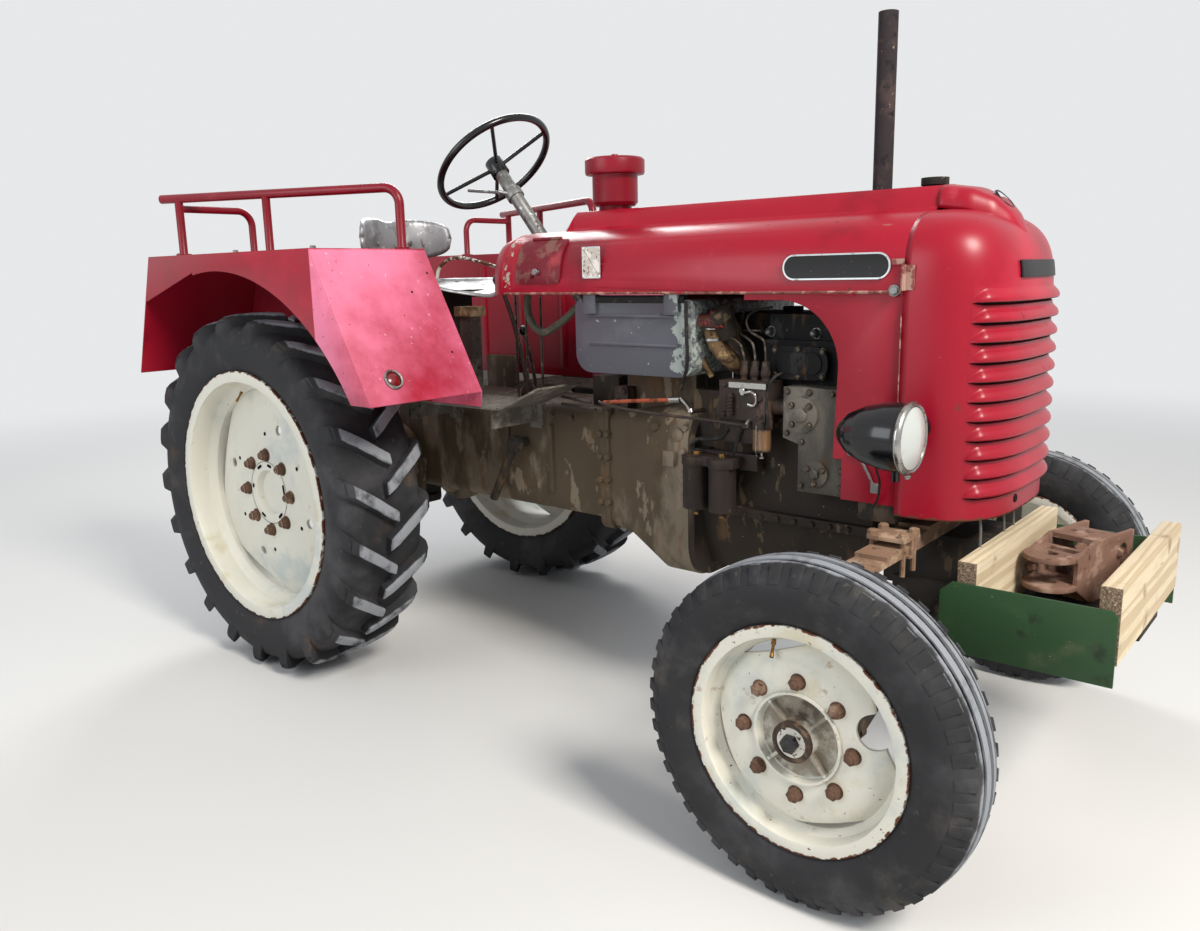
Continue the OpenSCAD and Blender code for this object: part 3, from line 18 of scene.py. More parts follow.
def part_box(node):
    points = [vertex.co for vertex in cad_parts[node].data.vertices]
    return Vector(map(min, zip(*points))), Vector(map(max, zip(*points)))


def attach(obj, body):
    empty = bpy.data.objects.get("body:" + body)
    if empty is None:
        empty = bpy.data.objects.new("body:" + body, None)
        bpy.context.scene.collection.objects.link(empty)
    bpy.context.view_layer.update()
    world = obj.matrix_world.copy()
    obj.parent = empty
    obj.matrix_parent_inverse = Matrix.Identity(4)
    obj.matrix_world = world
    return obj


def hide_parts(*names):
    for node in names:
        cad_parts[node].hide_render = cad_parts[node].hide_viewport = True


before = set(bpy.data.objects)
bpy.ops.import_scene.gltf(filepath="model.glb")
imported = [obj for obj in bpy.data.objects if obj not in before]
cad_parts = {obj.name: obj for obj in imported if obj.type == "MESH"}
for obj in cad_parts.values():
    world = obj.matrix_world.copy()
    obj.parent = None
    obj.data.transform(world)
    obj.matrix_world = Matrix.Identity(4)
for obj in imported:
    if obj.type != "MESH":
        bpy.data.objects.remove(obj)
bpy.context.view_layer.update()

# %% [markdown]
# Workshop sizes are easiest in millimetres from the rear axle, where a tractor is measured from.
# The axle's place comes from the rear rim, so nothing here is typed twice.

# %% Millimetres from the rear axle
MM = 0.001


def middle(node):
    """The middle of a node's box, in metres."""
    low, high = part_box(node)
    return (low + high) / 2


AXLE_X = middle("rear_rim_left").x


def at(x, y, z):
    """A point given in millimetres ahead of the rear axle, to the left, and above the floor."""
    return Vector((AXLE_X + x * MM, y * MM, z * MM))


print("the rear axle is at x =", round(AXLE_X, 4))

# %% [markdown]
# The camera stands at the photograph's viewpoint: low, ahead of the tractor and to its right,
# about two metres from the front wheel. Its three axes are worked out from the heading,
# the pitch and a small roll, because a hand-held camera is never quite level.

# %% Camera
CAMERA_AT = Vector((1.768, -2.1807, 1.1938))
HEADING, PITCH, ROLL = (math.radians(a) for a in (40.04, -11.37, -1.221))
SENSOR = 36.0
PHOTO_SIZE = Vector((1200, 931))
FOCAL_SHARE = 956.55 / PHOTO_SIZE.x

ahead = Vector((-math.sin(HEADING) * math.cos(PITCH), math.cos(HEADING) * math.cos(PITCH), math.sin(PITCH)))
level_right = ahead.cross(Vector((0, 0, 1))).normalized()
level_up = level_right.cross(ahead)
right = level_right * math.cos(ROLL) + level_up * math.sin(ROLL)
up = level_up * math.cos(ROLL) - level_right * math.sin(ROLL)

camera = bpy.data.objects.new("camera", bpy.data.cameras.new("camera"))
camera.data.sensor_width = SENSOR
camera.data.lens = SENSOR * FOCAL_SHARE
turned = Matrix((right, up, -ahead)).transposed().to_4x4()
camera.matrix_world = Matrix.Translation(CAMERA_AT) @ turned
bpy.context.scene.collection.objects.link(camera)
bpy.context.scene.camera = camera
print("the lens is", round(camera.data.lens, 2), "mm")

# %% [markdown]
# A finish is a network of small nodes, and much of it is arithmetic. Nodes are made one at a
# time, so two helpers keep the later cells short: one joins two values by a sum, a product or a
# maximum, and one makes a smooth step from 0 to 1.

# %% Two node helpers
def math_node(tree, operation, a, b):
    """One arithmetic node; a and b are sockets or plain numbers."""
    made = tree.nodes.new("ShaderNodeMath")
    made.operation = operation
    for socket, value in zip(made.inputs, (a, b)):
        if isinstance(value, (int, float)):
            socket.default_value = value
        else:
            tree.links.new(value, socket)
    return made.outputs[0]


def ramp(tree, value, none_at, full_at):
    """0 where value is none_at, 1 where it is full_at, smooth between."""
    made = tree.nodes.new("ShaderNodeMapRange")
    made.interpolation_type = "SMOOTHSTEP"
    made.inputs["From Min"].default_value = none_at
    made.inputs["From Max"].default_value = full_at
    tree.links.new(value, made.inputs["Value"])
    return made.outputs["Result"]


# %% [markdown]
# A plain pale floor and three large soft lamps. A high lamp ahead and to the right is the key,
# as the sun is for a machine parked in the open, and two weaker ones fill the engine bay.
# The world is pale to the camera and to reflections, but lights the tractor only gently.
# Past a few metres the floor fades into that same pale colour, so no horizon line shows.

# %% Floor, world and lamps
FLOOR_SIZE = 60.0
FADE_FROM, FADE_TO = 2.6, 8.5
BACKDROP = (0.80, 0.81, 0.82, 1)
PAPER = (0.72, 0.71, 0.69, 1)
SKY = (0.86, 0.92, 1.0, 1)
SKY_LEVEL = 0.42
# columns: name, place, what it aims at, size in metres, watts, tint
LAMPS = [
    ("key", (4.6, -1.6, 4.6), (0.1, 0, 0.8), 1.6, 400, (1.0, 0.96, 0.90)),
    ("fill", (-1.6, -5.4, 2.6), (0, 0, 0.7), 3.0, 110, (0.92, 0.96, 1.0)),
    ("back", (-4.0, 3.4, 4.2), (0, 0, 0.8), 2.4, 170, (1, 1, 1)),
]


def backdrop_rays(tree):
    """1 on the rays that show the backdrop: the camera's, and those that metal and glass send on."""
    path = tree.nodes.new("ShaderNodeLightPath")
    either = math_node(tree, "MAXIMUM", path.outputs["Is Camera Ray"], path.outputs["Is Transmission Ray"])
    return math_node(tree, "MAXIMUM", either, path.outputs["Is Glossy Ray"])


def make_floor():
    """A sheet of pale paper that fades into the backdrop."""
    shape = bmesh.new()
    bmesh.ops.create_grid(shape, x_segments=1, y_segments=1, size=FLOOR_SIZE / 2)
    mesh = bpy.data.meshes.new("floor")
    shape.to_mesh(mesh)
    shape.free()
    floor = bpy.data.objects.new("floor", mesh)
    bpy.context.scene.collection.objects.link(floor)
    paper = bpy.data.materials.new("pale floor")
    paper.use_nodes = True
    tree = paper.node_tree
    shader = tree.nodes["Principled BSDF"]
    shader.inputs["Base Color"].default_value = PAPER
    shader.inputs["Roughness"].default_value = 0.9
    glow = tree.nodes.new("ShaderNodeEmission")
    glow.inputs["Color"].default_value = BACKDROP
    reach = tree.nodes.new("ShaderNodeVectorMath")
    reach.operation = "LENGTH"
    tree.links.new(tree.nodes.new("ShaderNodeTexCoord").outputs["Object"], reach.inputs[0])
    far = ramp(tree, reach.outputs["Value"], FADE_FROM, FADE_TO)
    blend = tree.nodes.new("ShaderNodeMixShader")
    tree.links.new(math_node(tree, "MULTIPLY", far, backdrop_rays(tree)), blend.inputs[0])
    tree.links.new(shader.outputs[0], blend.inputs[1])
    tree.links.new(glow.outputs[0], blend.inputs[2])
    tree.links.new(blend.outputs[0], tree.nodes["Material Output"].inputs["Surface"])
    mesh.materials.append(paper)
    return floor


def make_world():
    """Gentle light from all round, behind a pale backdrop."""
    world = bpy.data.worlds.new("studio")
    world.use_nodes = True
    tree = world.node_tree
    tree.nodes.clear()
    light = tree.nodes.new("ShaderNodeBackground")
    light.inputs["Color"].default_value = SKY
    light.inputs["Strength"].default_value = SKY_LEVEL
    seen = tree.nodes.new("ShaderNodeBackground")
    seen.inputs["Color"].default_value = BACKDROP
    seen.inputs["Strength"].default_value = 1.0
    mix = tree.nodes.new("ShaderNodeMixShader")
    tree.links.new(backdrop_rays(tree), mix.inputs[0])
    tree.links.new(light.outputs[0], mix.inputs[1])
    tree.links.new(seen.outputs[0], mix.inputs[2])
    out = tree.nodes.new("ShaderNodeOutputWorld")
    tree.links.new(mix.outputs[0], out.inputs[0])
    bpy.context.scene.world = world


def soft_lamp(name, place, aim, size, watts, tint):
    """A square area lamp at place that faces aim."""
    lamp = bpy.data.objects.new(name, bpy.data.lights.new(name, "AREA"))
    lamp.data.shape = "SQUARE"
    lamp.data.size = size
    lamp.data.energy = watts
    lamp.data.color = tint
    lamp.location = place
    lamp.rotation_mode = "QUATERNION"
    lamp.rotation_quaternion = (Vector(aim) - Vector(place)).to_track_quat("-Z", "Y")
    bpy.context.scene.collection.objects.link(lamp)
    return lamp


make_floor()
make_world()
for row in LAMPS:
    soft_lamp(*row)
bpy.context.scene.view_settings.view_transform = "Standard"

# %% [markdown]
# Old paint is a history in layers: a ground colour, then sun fade, dust, chips and rust over it.
# Each layer is a Coat. Its patches come from one noise texture cut at a level, so a coat knows
# how big its patches are, how much it covers, how rough it is and how deep it lies.
# The same few fields describe flaking castings, weathered wood and dusty rubber.

# %% Coats of wear
@dataclass
class Coat:
    colour: tuple            # linear red, green, blue
    size: float              # size of its patches, in metres
    start: float             # noise level where it begins; 0.5 covers about half
    soft: float = 0.03       # how soft its edge is
    rough: float = 0.8
    depth: float = 0.0       # millimetres that it stands proud, below zero where it lies deeper
    stretch: tuple = (1, 1, 1)
    zone: tuple = None       # (axis 0 to 2, metres where it is absent, metres where it is full)
    ring: tuple = None       # (centre, radius where it is absent, radius where it is full)
    strength: float = 1.0


def seen_as(red, green, blue):
    """A colour as the eye reads it, 0 to 255, in the linear values that a shader takes."""
    shares = [c / 255 for c in (red, green, blue)]
    return tuple(s / 12.92 if s <= 0.04045 else ((s + 0.055) / 1.055) ** 2.4 for s in shares)


def shaded(colour, share):
    """A colour made darker, or lighter where share is over 1."""
    return tuple(share * c for c in colour)


def noise(tree, where, size, detail=6.0, rough=0.6, stretch=(1, 1, 1), shift=0.0):
    """Noise whose largest blotches are about size metres across."""
    place = tree.nodes.new("ShaderNodeMapping")
    place.inputs["Scale"].default_value = stretch
    place.inputs["Location"].default_value = (shift, 1.7 * shift, 2.3 * shift)
    tree.links.new(where, place.inputs["Vector"])
    made = tree.nodes.new("ShaderNodeTexNoise")
    made.inputs["Scale"].default_value = 1 / size
    made.inputs["Detail"].default_value = detail
    made.inputs["Roughness"].default_value = rough
    tree.links.new(place.outputs["Vector"], made.inputs["Vector"])
    return made.outputs[0]


def ring_distance(tree, where, centre):
    """Distance from an axle that lies along Y through centre."""
    place = tree.nodes.new("ShaderNodeMapping")
    place.inputs["Location"].default_value = (-centre[0], 0, -centre[2])
    place.inputs["Scale"].default_value = (1, 0, 1)
    tree.links.new(where, place.inputs["Vector"])
    length = tree.nodes.new("ShaderNodeVectorMath")
    length.operation = "LENGTH"
    tree.links.new(place.outputs["Vector"], length.inputs[0])
    return length.outputs["Value"]


# How far the noise of a coat sinks outside its zone
ZONE_FALL = 0.5


def coat_mask(tree, where, coat, shift):
    """How much of a coat lies at each point, 0 to 1."""
    level = noise(tree, where, coat.size, stretch=coat.stretch, shift=shift)
    if coat.zone or coat.ring:
        if coat.zone:
            axis, none_at, full_at = coat.zone
            split = tree.nodes.new("ShaderNodeSeparateXYZ")
            tree.links.new(where, split.inputs[0])
            here = ramp(tree, split.outputs[axis], none_at, full_at)
        else:
            centre, none_at, full_at = coat.ring
            here = ramp(tree, ring_distance(tree, where, centre), none_at, full_at)
        fall = math_node(tree, "MULTIPLY", math_node(tree, "SUBTRACT", here, 1.0), ZONE_FALL)
        level = math_node(tree, "ADD", level, fall)
    mask = ramp(tree, level, coat.start, coat.start + coat.soft)
    return mask if coat.strength == 1.0 else math_node(tree, "MULTIPLY", mask, coat.strength)


# A Mix node has a pair of inputs and an output for each kind of data, found by number
MIX_INPUT = {"FLOAT": 2, "RGBA": 6}
MIX_OUTPUT = {"FLOAT": 0, "RGBA": 2}


def mixed(tree, kind, mask, under, over):
    """under where mask is 0, over where it is 1; kind is RGBA or FLOAT."""
    made = tree.nodes.new("ShaderNodeMix")
    made.data_type = kind
    first = MIX_INPUT[kind]
    tree.links.new(mask, made.inputs[0])
    for index, value in ((first, under), (first + 1, over)):
        if isinstance(value, tuple):
            made.inputs[index].default_value = (*value, 1)
        elif isinstance(value, float):
            made.inputs[index].default_value = value
        else:
            tree.links.new(value, made.inputs[index])
    return made.outputs[MIX_OUTPUT[kind]]


def weathered(name, ground, rough, coats, metal=0.0, clear=0.0, gloss=0.22, grain=0.0, grain_size=0.004):
    """A ground colour under its coats.

    gloss is how much it mirrors, and grain is how deep its skin is, in millimetres.
    """
    made = bpy.data.materials.new(name)
    made.use_nodes = True
    tree = made.node_tree
    shader = tree.nodes["Principled BSDF"]
    shader.inputs["Metallic"].default_value = metal
    shader.inputs["Specular IOR Level"].default_value = gloss
    shader.inputs["Coat Weight"].default_value = clear
    shader.inputs["Coat Roughness"].default_value = 0.25
    where = tree.nodes.new("ShaderNodeTexCoord").outputs["Object"]
    colour, dullness, height = ground, rough, None
    if grain:
        fine = noise(tree, where, grain_size, detail=3.0)
        height = math_node(tree, "MULTIPLY", fine, grain * MM)
    for k, coat in enumerate(coats):
        mask = coat_mask(tree, where, coat, 0.37 * k)
        colour = mixed(tree, "RGBA", mask, colour, coat.colour)
        dullness = mixed(tree, "FLOAT", mask, dullness, coat.rough)
        if coat.depth:
            step = math_node(tree, "MULTIPLY", mask, coat.depth * MM)
            height = step if height is None else math_node(tree, "ADD", height, step)
    tree.links.new(colour, shader.inputs["Base Color"])
    tree.links.new(dullness, shader.inputs["Roughness"])
    if height is not None:
        bump = tree.nodes.new("ShaderNodeBump")
        bump.inputs["Distance"].default_value = 1.0
        bump.inputs["Strength"].default_value = 0.7
        tree.links.new(height, bump.inputs["Height"])
        tree.links.new(bump.outputs["Normal"], shader.inputs["Normal"])
    return made


print("a coat has the fields", list(Coat.__dataclass_fields__))

# %% [markdown]
# The red is a synthetic enamel. It has gone pink where the sun reaches it, keeps its crimson on
# the flanks, and has rusted through in specks and along the folded edges.

# %% Red enamel
RUST = seen_as(98, 58, 40)
DARK_RUST = seen_as(58, 34, 28)


def red_enamel(name="red enamel", edge_zone=None, extra=(), shade=1.0):
    """Faded crimson, with rust in its edge zone, extra coats on top, and shade as its lightness."""
    coats = [
        Coat(shaded(seen_as(178, 22, 50), shade), 0.42, 0.50, 0.22, rough=0.42),
        Coat(shaded(seen_as(118, 8, 26), shade), 0.30, 0.54, 0.20, rough=0.34),
        Coat(seen_as(190, 88, 100), 0.16, 0.64, 0.14, rough=0.6, strength=0.45 * shade),
        Coat(seen_as(112, 40, 40), 0.030, 0.68, 0.02, rough=0.85, depth=-0.12, strength=0.8),
        Coat(DARK_RUST, 0.010, 0.725, 0.02, rough=0.9, depth=-0.15),
        Coat(seen_as(150, 110, 92), 0.05, 0.70, 0.04, rough=0.8, stretch=(1, 1, 6), strength=0.5),
    ]
    if edge_zone:
        coats.append(Coat(RUST, 0.018, 0.40, 0.06, rough=0.9, depth=-0.15, zone=edge_zone))
    coats.extend(extra)
    ground = shaded(seen_as(150, 12, 36), shade)
    return weathered(name, ground, 0.36, coats, clear=0.08, gloss=0.3, grain=0.05, grain_size=0.006)


enamel = red_enamel()
print(enamel.name, "has", len(enamel.node_tree.nodes), "nodes")

# %% [markdown]
# Wheels were sprayed a warm off-white. Rust comes up through it in freckles, most of all near
# the hub and along the flange, where the tyre keeps water against the steel.

# %% Cream wheel paint
CREAM = seen_as(214, 211, 198)


def cream_paint(name, centre, flange, freckled, pan=0.0):
    """Paint of the wheel round centre.

    flange is the rim's radius, freckled, from 0 to 1, is how rusty it is, and pan is the radius
    of its oily middle.
    """
    ease = 0.05 * (1 - freckled)
    coats = [
        Coat(seen_as(186, 192, 188), 0.20, 0.50, 0.18, rough=0.5),
        Coat(seen_as(196, 184, 152), 0.12, 0.58, 0.14, rough=0.6, strength=0.6),
        Coat(seen_as(150, 118, 84), 0.050, 0.62 + ease, 0.08, rough=0.8, strength=0.6),
        Coat(RUST, 0.012, 0.655 + ease, 0.03, rough=0.9, depth=-0.12),
        Coat(DARK_RUST, 0.006, 0.70 + ease, 0.02, rough=0.9, depth=-0.15),
        Coat(RUST, 0.020, 0.42, 0.08, rough=0.9, depth=-0.1, ring=(centre, flange - 0.010, flange - 0.001)),
    ]
    if pan:
        inside = (centre, pan, pan - 0.006)
        coats.append(Coat(seen_as(128, 116, 100), 0.060, 0.30, 0.30, rough=0.6, ring=inside, strength=0.9))
        coats.append(Coat(seen_as(66, 54, 46), 0.045, 0.50, 0.20, rough=0.5, ring=inside, strength=0.9))
    return weathered(name, CREAM, 0.42, coats, clear=0.1, grain=0.05, grain_size=0.008)


print("the cream is", [round(c, 3) for c in CREAM])

# %% [markdown]
# Rubber is never black. It greys where it rolls, keeps brown soil in its corners, and pales in
# streaks down the sidewall. The rings of the pattern are worked out from the wheel's own axle.

# %% Tyre rubber
def rubber(name, centre, radius, dust):
    """Rubber of the tyre round centre; dust is the colour of what it rolled through."""
    return weathered(name, seen_as(42, 42, 44), 0.72, [
        Coat(seen_as(70, 69, 71), 0.20, 0.46, 0.24, rough=0.8),
        Coat(dust, 0.16, 0.58, 0.20, rough=0.95, strength=0.38),
        Coat(seen_as(96, 88, 76), 0.03, 0.64, 0.06, rough=0.95, strength=0.4),
        Coat(seen_as(142, 145, 150), 0.06, 0.24, 0.30, rough=0.9,
             ring=(centre, radius * 0.972, radius * 0.992)),
    ], grain=0.25, grain_size=0.003)


# %% [markdown]
# The castings carry what is left of a grey-brown works paint, flaked off in plates, with oil
# and dust baked on the bare iron. Flakes have a real edge, so their coat stands a little proud.

# %% Cast iron
def casting(name, ground, paint, covered, oil=0.5, rough=0.78):
    """Iron of colour ground under flakes of paint; covered and oil, from 0 to 1, are how much lies on it."""
    return weathered(name, ground, rough, [
        Coat(paint, 0.30, 0.66 - 0.25 * covered, 0.10, rough=0.7, depth=0.15, stretch=(1.4, 1.4, 0.6)),
        Coat(shaded(paint, 1.3), 0.09, 0.62 - 0.06 * covered, 0.03, rough=0.7, depth=0.25,
             stretch=(1.3, 1.3, 0.6), strength=0.7),
        Coat(seen_as(104, 78, 52), 0.10, 0.58, 0.12, rough=0.9, stretch=(2, 2, 0.6), strength=0.6),
        Coat(seen_as(26, 22, 20), 0.26, 0.62 - 0.16 * oil, 0.20, rough=0.42,
             stretch=(1.6, 1.6, 0.7), strength=0.75),
        Coat(seen_as(148, 140, 122), 0.012, 0.70, 0.03, rough=0.9, depth=0.15),
    ], grain=0.35, grain_size=0.005)


gear_iron = casting("gearbox casting", seen_as(80, 68, 54), seen_as(118, 106, 90), 0.72, oil=0.35)
engine_iron = casting("engine casting", seen_as(48, 41, 35), seen_as(90, 76, 58), 0.35, oil=0.75)
head_iron = casting("cylinder head", seen_as(26, 26, 27), seen_as(46, 46, 46), 0.45, oil=0.7)
case_alloy = casting("timing case", seen_as(72, 68, 62), seen_as(104, 99, 90), 0.55, oil=0.45, rough=0.6)
pump_iron = casting("injection pump", seen_as(52, 42, 38), seen_as(84, 64, 54), 0.45, oil=0.8, rough=0.55)
axle_iron = casting("axle forging", seen_as(44, 40, 36), seen_as(74, 62, 50), 0.35, oil=0.6)
print("castings:", gear_iron.name, engine_iron.name, case_alloy.name)

# %% [markdown]
# The rest of the finishes: blue-grey tank paint that peels to a pale primer at its front corner,
# zinc on the seat and column, gloss black on the lamps, rust on the spring and jaw, and dusty
# green paint on the sheets at the front. The enamel takes two more forms: darker on the rails,
# and pale pink on the front plates of the mudguards, which face the sun: painted sunlight and
# sky reflection over the faded paint.

# %% Tank paint, zinc, black, rust and green
tank_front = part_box("fuel_tank")[1].x
PEELED = (0, tank_front - 0.115, tank_front - 0.045)
SCUFFED = (0, tank_front - 0.055, tank_front - 0.03)


def tank_paint():
    """Blue-grey paint that has peeled to its primer at the tank's front corner."""
    primer = seen_as(156, 164, 158)
    return weathered("tank paint", seen_as(82, 83, 90), 0.45, [
        Coat(seen_as(104, 104, 109), 0.25, 0.50, 0.16, rough=0.5),
        Coat(seen_as(84, 78, 74), 0.10, 0.60, 0.12, rough=0.7, strength=0.6),
        Coat(primer, 0.016, 0.675, 0.02, rough=0.75, depth=-0.15),
        Coat(primer, 0.030, 0.44, 0.03, rough=0.8, depth=-0.25, zone=PEELED),
        Coat(seen_as(112, 112, 110), 0.012, 0.50, 0.05, rough=0.8, zone=SCUFFED),
    ], clear=0.1, grain=0.06)


def zinc(name, ground, rusty):
    """Dull zinc; rusty, from 0 to 1, is how far the rust has come through it."""
    return weathered(name, ground, 0.42, [
        Coat(shaded(ground, 0.72), 0.05, 0.50, 0.12, rough=0.5),
        Coat(seen_as(206, 208, 206), 0.03, 0.58, 0.08, rough=0.35, strength=0.6),
        Coat(RUST, 0.03, 0.70 - 0.12 * rusty, 0.05, rough=0.9, strength=0.7),
        Coat(DARK_RUST, 0.008, 0.71 - 0.04 * rusty, 0.03, rough=0.9, depth=-0.1),
    ], metal=0.55, grain=0.08)


def rusted(name, ground, bright, rough=0.9):
    """Bare steel that is rust all over, with brighter blooms and dark pits."""
    return weathered(name, ground, rough, [
        Coat(bright, 0.05, 0.50, 0.14, rough=0.92, depth=0.1),
        Coat(shaded(ground, 0.45), 0.03, 0.58, 0.08, rough=0.85, depth=-0.1),
        Coat(seen_as(168, 148, 128), 0.02, 0.66, 0.05, rough=0.9, strength=0.6),
    ], grain=0.3, grain_size=0.003)


def black_gloss(name, rough=0.22, dusty=0.4):
    """Black stoving enamel under a little dust."""
    return weathered(name, seen_as(16, 16, 18), rough, [
        Coat(seen_as(44, 42, 42), 0.08, 0.62 - 0.1 * dusty, 0.12, rough=0.6, strength=0.7),
        Coat(seen_as(120, 112, 104), 0.007, 0.70, 0.03, rough=0.9),
    ], clear=0.15, gloss=0.4, grain=0.02)


def green_paint():
    """Machine green, dusty, with a few chips."""
    return weathered("green paint", seen_as(44, 72, 44), 0.55, [
        Coat(seen_as(58, 86, 56), 0.20, 0.50, 0.14, rough=0.6),
        Coat(seen_as(34, 46, 32), 0.12, 0.58, 0.10, rough=0.7),
        Coat(seen_as(112, 108, 84), 0.14, 0.58, 0.16, rough=0.85, strength=0.4),
        Coat(seen_as(112, 74, 48), 0.010, 0.69, 0.03, rough=0.9, depth=-0.1),
        Coat(seen_as(150, 156, 138), 0.008, 0.715, 0.02, rough=0.9),
    ], clear=0.1, grain=0.08)


tank_grey = tank_paint()
seat_zinc = zinc("seat zinc", seen_as(150, 150, 152), 0.6)
column_zinc = zinc("column zinc", seen_as(128, 128, 126), 0.9)
wheel_black = black_gloss("steering wheel black", 0.2)
lamp_black = black_gloss("lamp black", 0.16, 0.2)
exhaust_soot = rusted("sooty exhaust", seen_as(46, 40, 42), seen_as(66, 54, 52))
spring_rust = rusted("spring rust", seen_as(132, 104, 84), seen_as(172, 146, 122))
jaw_rust = rusted("jaw rust", seen_as(128, 98, 84), seen_as(160, 132, 116))
plate_steel = rusted("chequer plate", seen_as(96, 90, 82), seen_as(128, 122, 112), rough=0.65)
radiator_black = rusted("radiator black", seen_as(40, 38, 36), seen_as(62, 56, 50))
green = green_paint()
hatch_red = weathered("hatch paint", seen_as(106, 26, 38), 0.5, [
    Coat(seen_as(118, 84, 76), 0.06, 0.47, 0.10, rough=0.8, depth=0.05),
    Coat(seen_as(150, 58, 62), 0.10, 0.56, 0.14, rough=0.6),
    Coat(DARK_RUST, 0.012, 0.68, 0.03, rough=0.9, depth=-0.1),
], grain=0.1)
rail_red = red_enamel("rail enamel", shade=0.62)
fender_front = AXLE_X + 0.48
# The pale pink coat on the front plates is painted sunlight and sky reflection over faded enamel.
PAINTED_SUNLIGHT_PLATE = (0, fender_front - 0.004, fender_front + 0.004)
AHEAD_OF_FOLD = (0, fender_front, fender_front + 0.004)
fender_red_and_painted_sunlight = red_enamel("fender enamel and painted sunlight", extra=[
    Coat(seen_as(238, 128, 160), 0.60, 0.30, 0.34, rough=0.38, zone=PAINTED_SUNLIGHT_PLATE),
    Coat(seen_as(240, 190, 200), 0.020, 0.66, 0.04, rough=0.6, zone=AHEAD_OF_FOLD, strength=0.6),
    Coat(seen_as(120, 62, 70), 0.012, 0.67, 0.03, rough=0.9, zone=AHEAD_OF_FOLD),
])
print("finishes so far:", len(bpy.data.materials))

# %% [markdown]
# Sawn pine shows its growth as bands along the plank. A wave texture stretched along the length
# gives the bands, its own distortion bends them, and three noises lay fibre, cracks and stains
# over them. The ends, which drink water, are dark.

# %% Pine
def pine():
    """Sawn softwood whose grain runs along Y."""
    made = bpy.data.materials.new("pine")
    made.use_nodes = True
    tree = made.node_tree
    shader = tree.nodes["Principled BSDF"]
    where = tree.nodes.new("ShaderNodeTexCoord").outputs["Object"]
    place = tree.nodes.new("ShaderNodeMapping")
    place.inputs["Scale"].default_value = (1.0, 0.05, 1.0)
    tree.links.new(where, place.inputs["Vector"])
    wave = tree.nodes.new("ShaderNodeTexWave")
    wave.wave_type = "RINGS"
    wave.rings_direction = "Y"
    wave.inputs["Scale"].default_value = 20.0
    wave.inputs["Distortion"].default_value = 7.0
    wave.inputs["Detail"].default_value = 3.0
    wave.inputs["Detail Scale"].default_value = 1.2
    tree.links.new(place.outputs["Vector"], wave.inputs["Vector"])
    band = ramp(tree, wave.outputs["Fac"], 0.25, 0.85)
    colour = mixed(tree, "RGBA", band, seen_as(214, 198, 168), seen_as(190, 170, 138))
    fibre = noise(tree, where, 0.004, stretch=(1, 0.04, 1))
    crack = noise(tree, where, 0.022, stretch=(1, 0.10, 1))
    stain = noise(tree, where, 0.10)
    for layer, none_at, full_at, tone in (
            (fibre, 0.45, 0.75, seen_as(194, 176, 148)),
            (crack, 0.675, 0.69, seen_as(104, 84, 66)),
            (stain, 0.56, 0.70, seen_as(158, 134, 106))):
        colour = mixed(tree, "RGBA", ramp(tree, layer, none_at, full_at), colour, tone)
    split = tree.nodes.new("ShaderNodeSeparateXYZ")
    tree.links.new(where, split.inputs[0])
    end_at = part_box("planks")[1].y
    reach = math_node(tree, "ABSOLUTE", split.outputs[1], 0.0)
    ragged = math_node(tree, "ADD", reach, math_node(tree, "MULTIPLY", fibre, 0.006))
    soaked = ramp(tree, ragged, end_at, end_at + 0.004)
    colour = mixed(tree, "RGBA", soaked, colour, seen_as(74, 52, 36))
    tree.links.new(colour, shader.inputs["Base Color"])
    shader.inputs["Roughness"].default_value = 0.8
    bump = tree.nodes.new("ShaderNodeBump")
    bump.inputs["Distance"].default_value = 0.0006
    tree.links.new(fibre, bump.inputs["Height"])
    tree.links.new(bump.outputs["Normal"], shader.inputs["Normal"])
    return made


wood = pine()
print("the pine has", len(wood.node_tree.nodes), "nodes")

# %% [markdown]
# Finishes for small parts: chrome, blank label enamel, brass, steel pipe, rubber hose, painted shade
# for gaps and holes, rusty nuts and glass. Each still has its own wear, as a tractor has no new parts.

# %% Small bright finishes
chrome = weathered("worn chrome", seen_as(164, 162, 158), 0.26, [
    Coat(seen_as(96, 90, 82), 0.02, 0.52, 0.12, rough=0.5, strength=0.8),
], metal=1.0, grain=0.04)
label_black = weathered("black label", seen_as(26, 26, 27), 0.4, [
    Coat(seen_as(90, 86, 80), 0.008, 0.66, 0.04, rough=0.8),
], grain=0.03)
label_worn = weathered("worn label", seen_as(196, 190, 178), 0.6, [
    Coat(seen_as(120, 78, 70), 0.010, 0.56, 0.05, rough=0.8),
    Coat(seen_as(228, 224, 216), 0.030, 0.50, 0.10, rough=0.6),
], grain=0.06)
label_pale = weathered("pale label", seen_as(198, 202, 204), 0.4, [
    Coat(seen_as(150, 152, 150), 0.02, 0.56, 0.10, rough=0.6),
    Coat(seen_as(96, 84, 74), 0.006, 0.70, 0.03, rough=0.9),
], metal=0.3, grain=0.03)
brass = weathered("oily brass", seen_as(150, 116, 70), 0.4, [
    Coat(seen_as(60, 46, 34), 0.012, 0.50, 0.12, rough=0.6),
], metal=0.8, grain=0.05)
pipe_steel = weathered("pipe steel", seen_as(74, 66, 58), 0.45, [
    Coat(seen_as(120, 108, 94), 0.02, 0.55, 0.10, rough=0.5),
    Coat(seen_as(40, 34, 30), 0.03, 0.58, 0.10, rough=0.5),
], metal=0.6, grain=0.05)
# Black rubber for hoses, wires and packing; it is also the painted shade of the fender holes and the seat's
# groove.
hose_rubber_and_painted_shade = weathered("hose rubber and painted shade", seen_as(30, 29, 29), 0.6, [
    Coat(seen_as(70, 64, 58), 0.02, 0.55, 0.12, rough=0.85),
], grain=0.1)
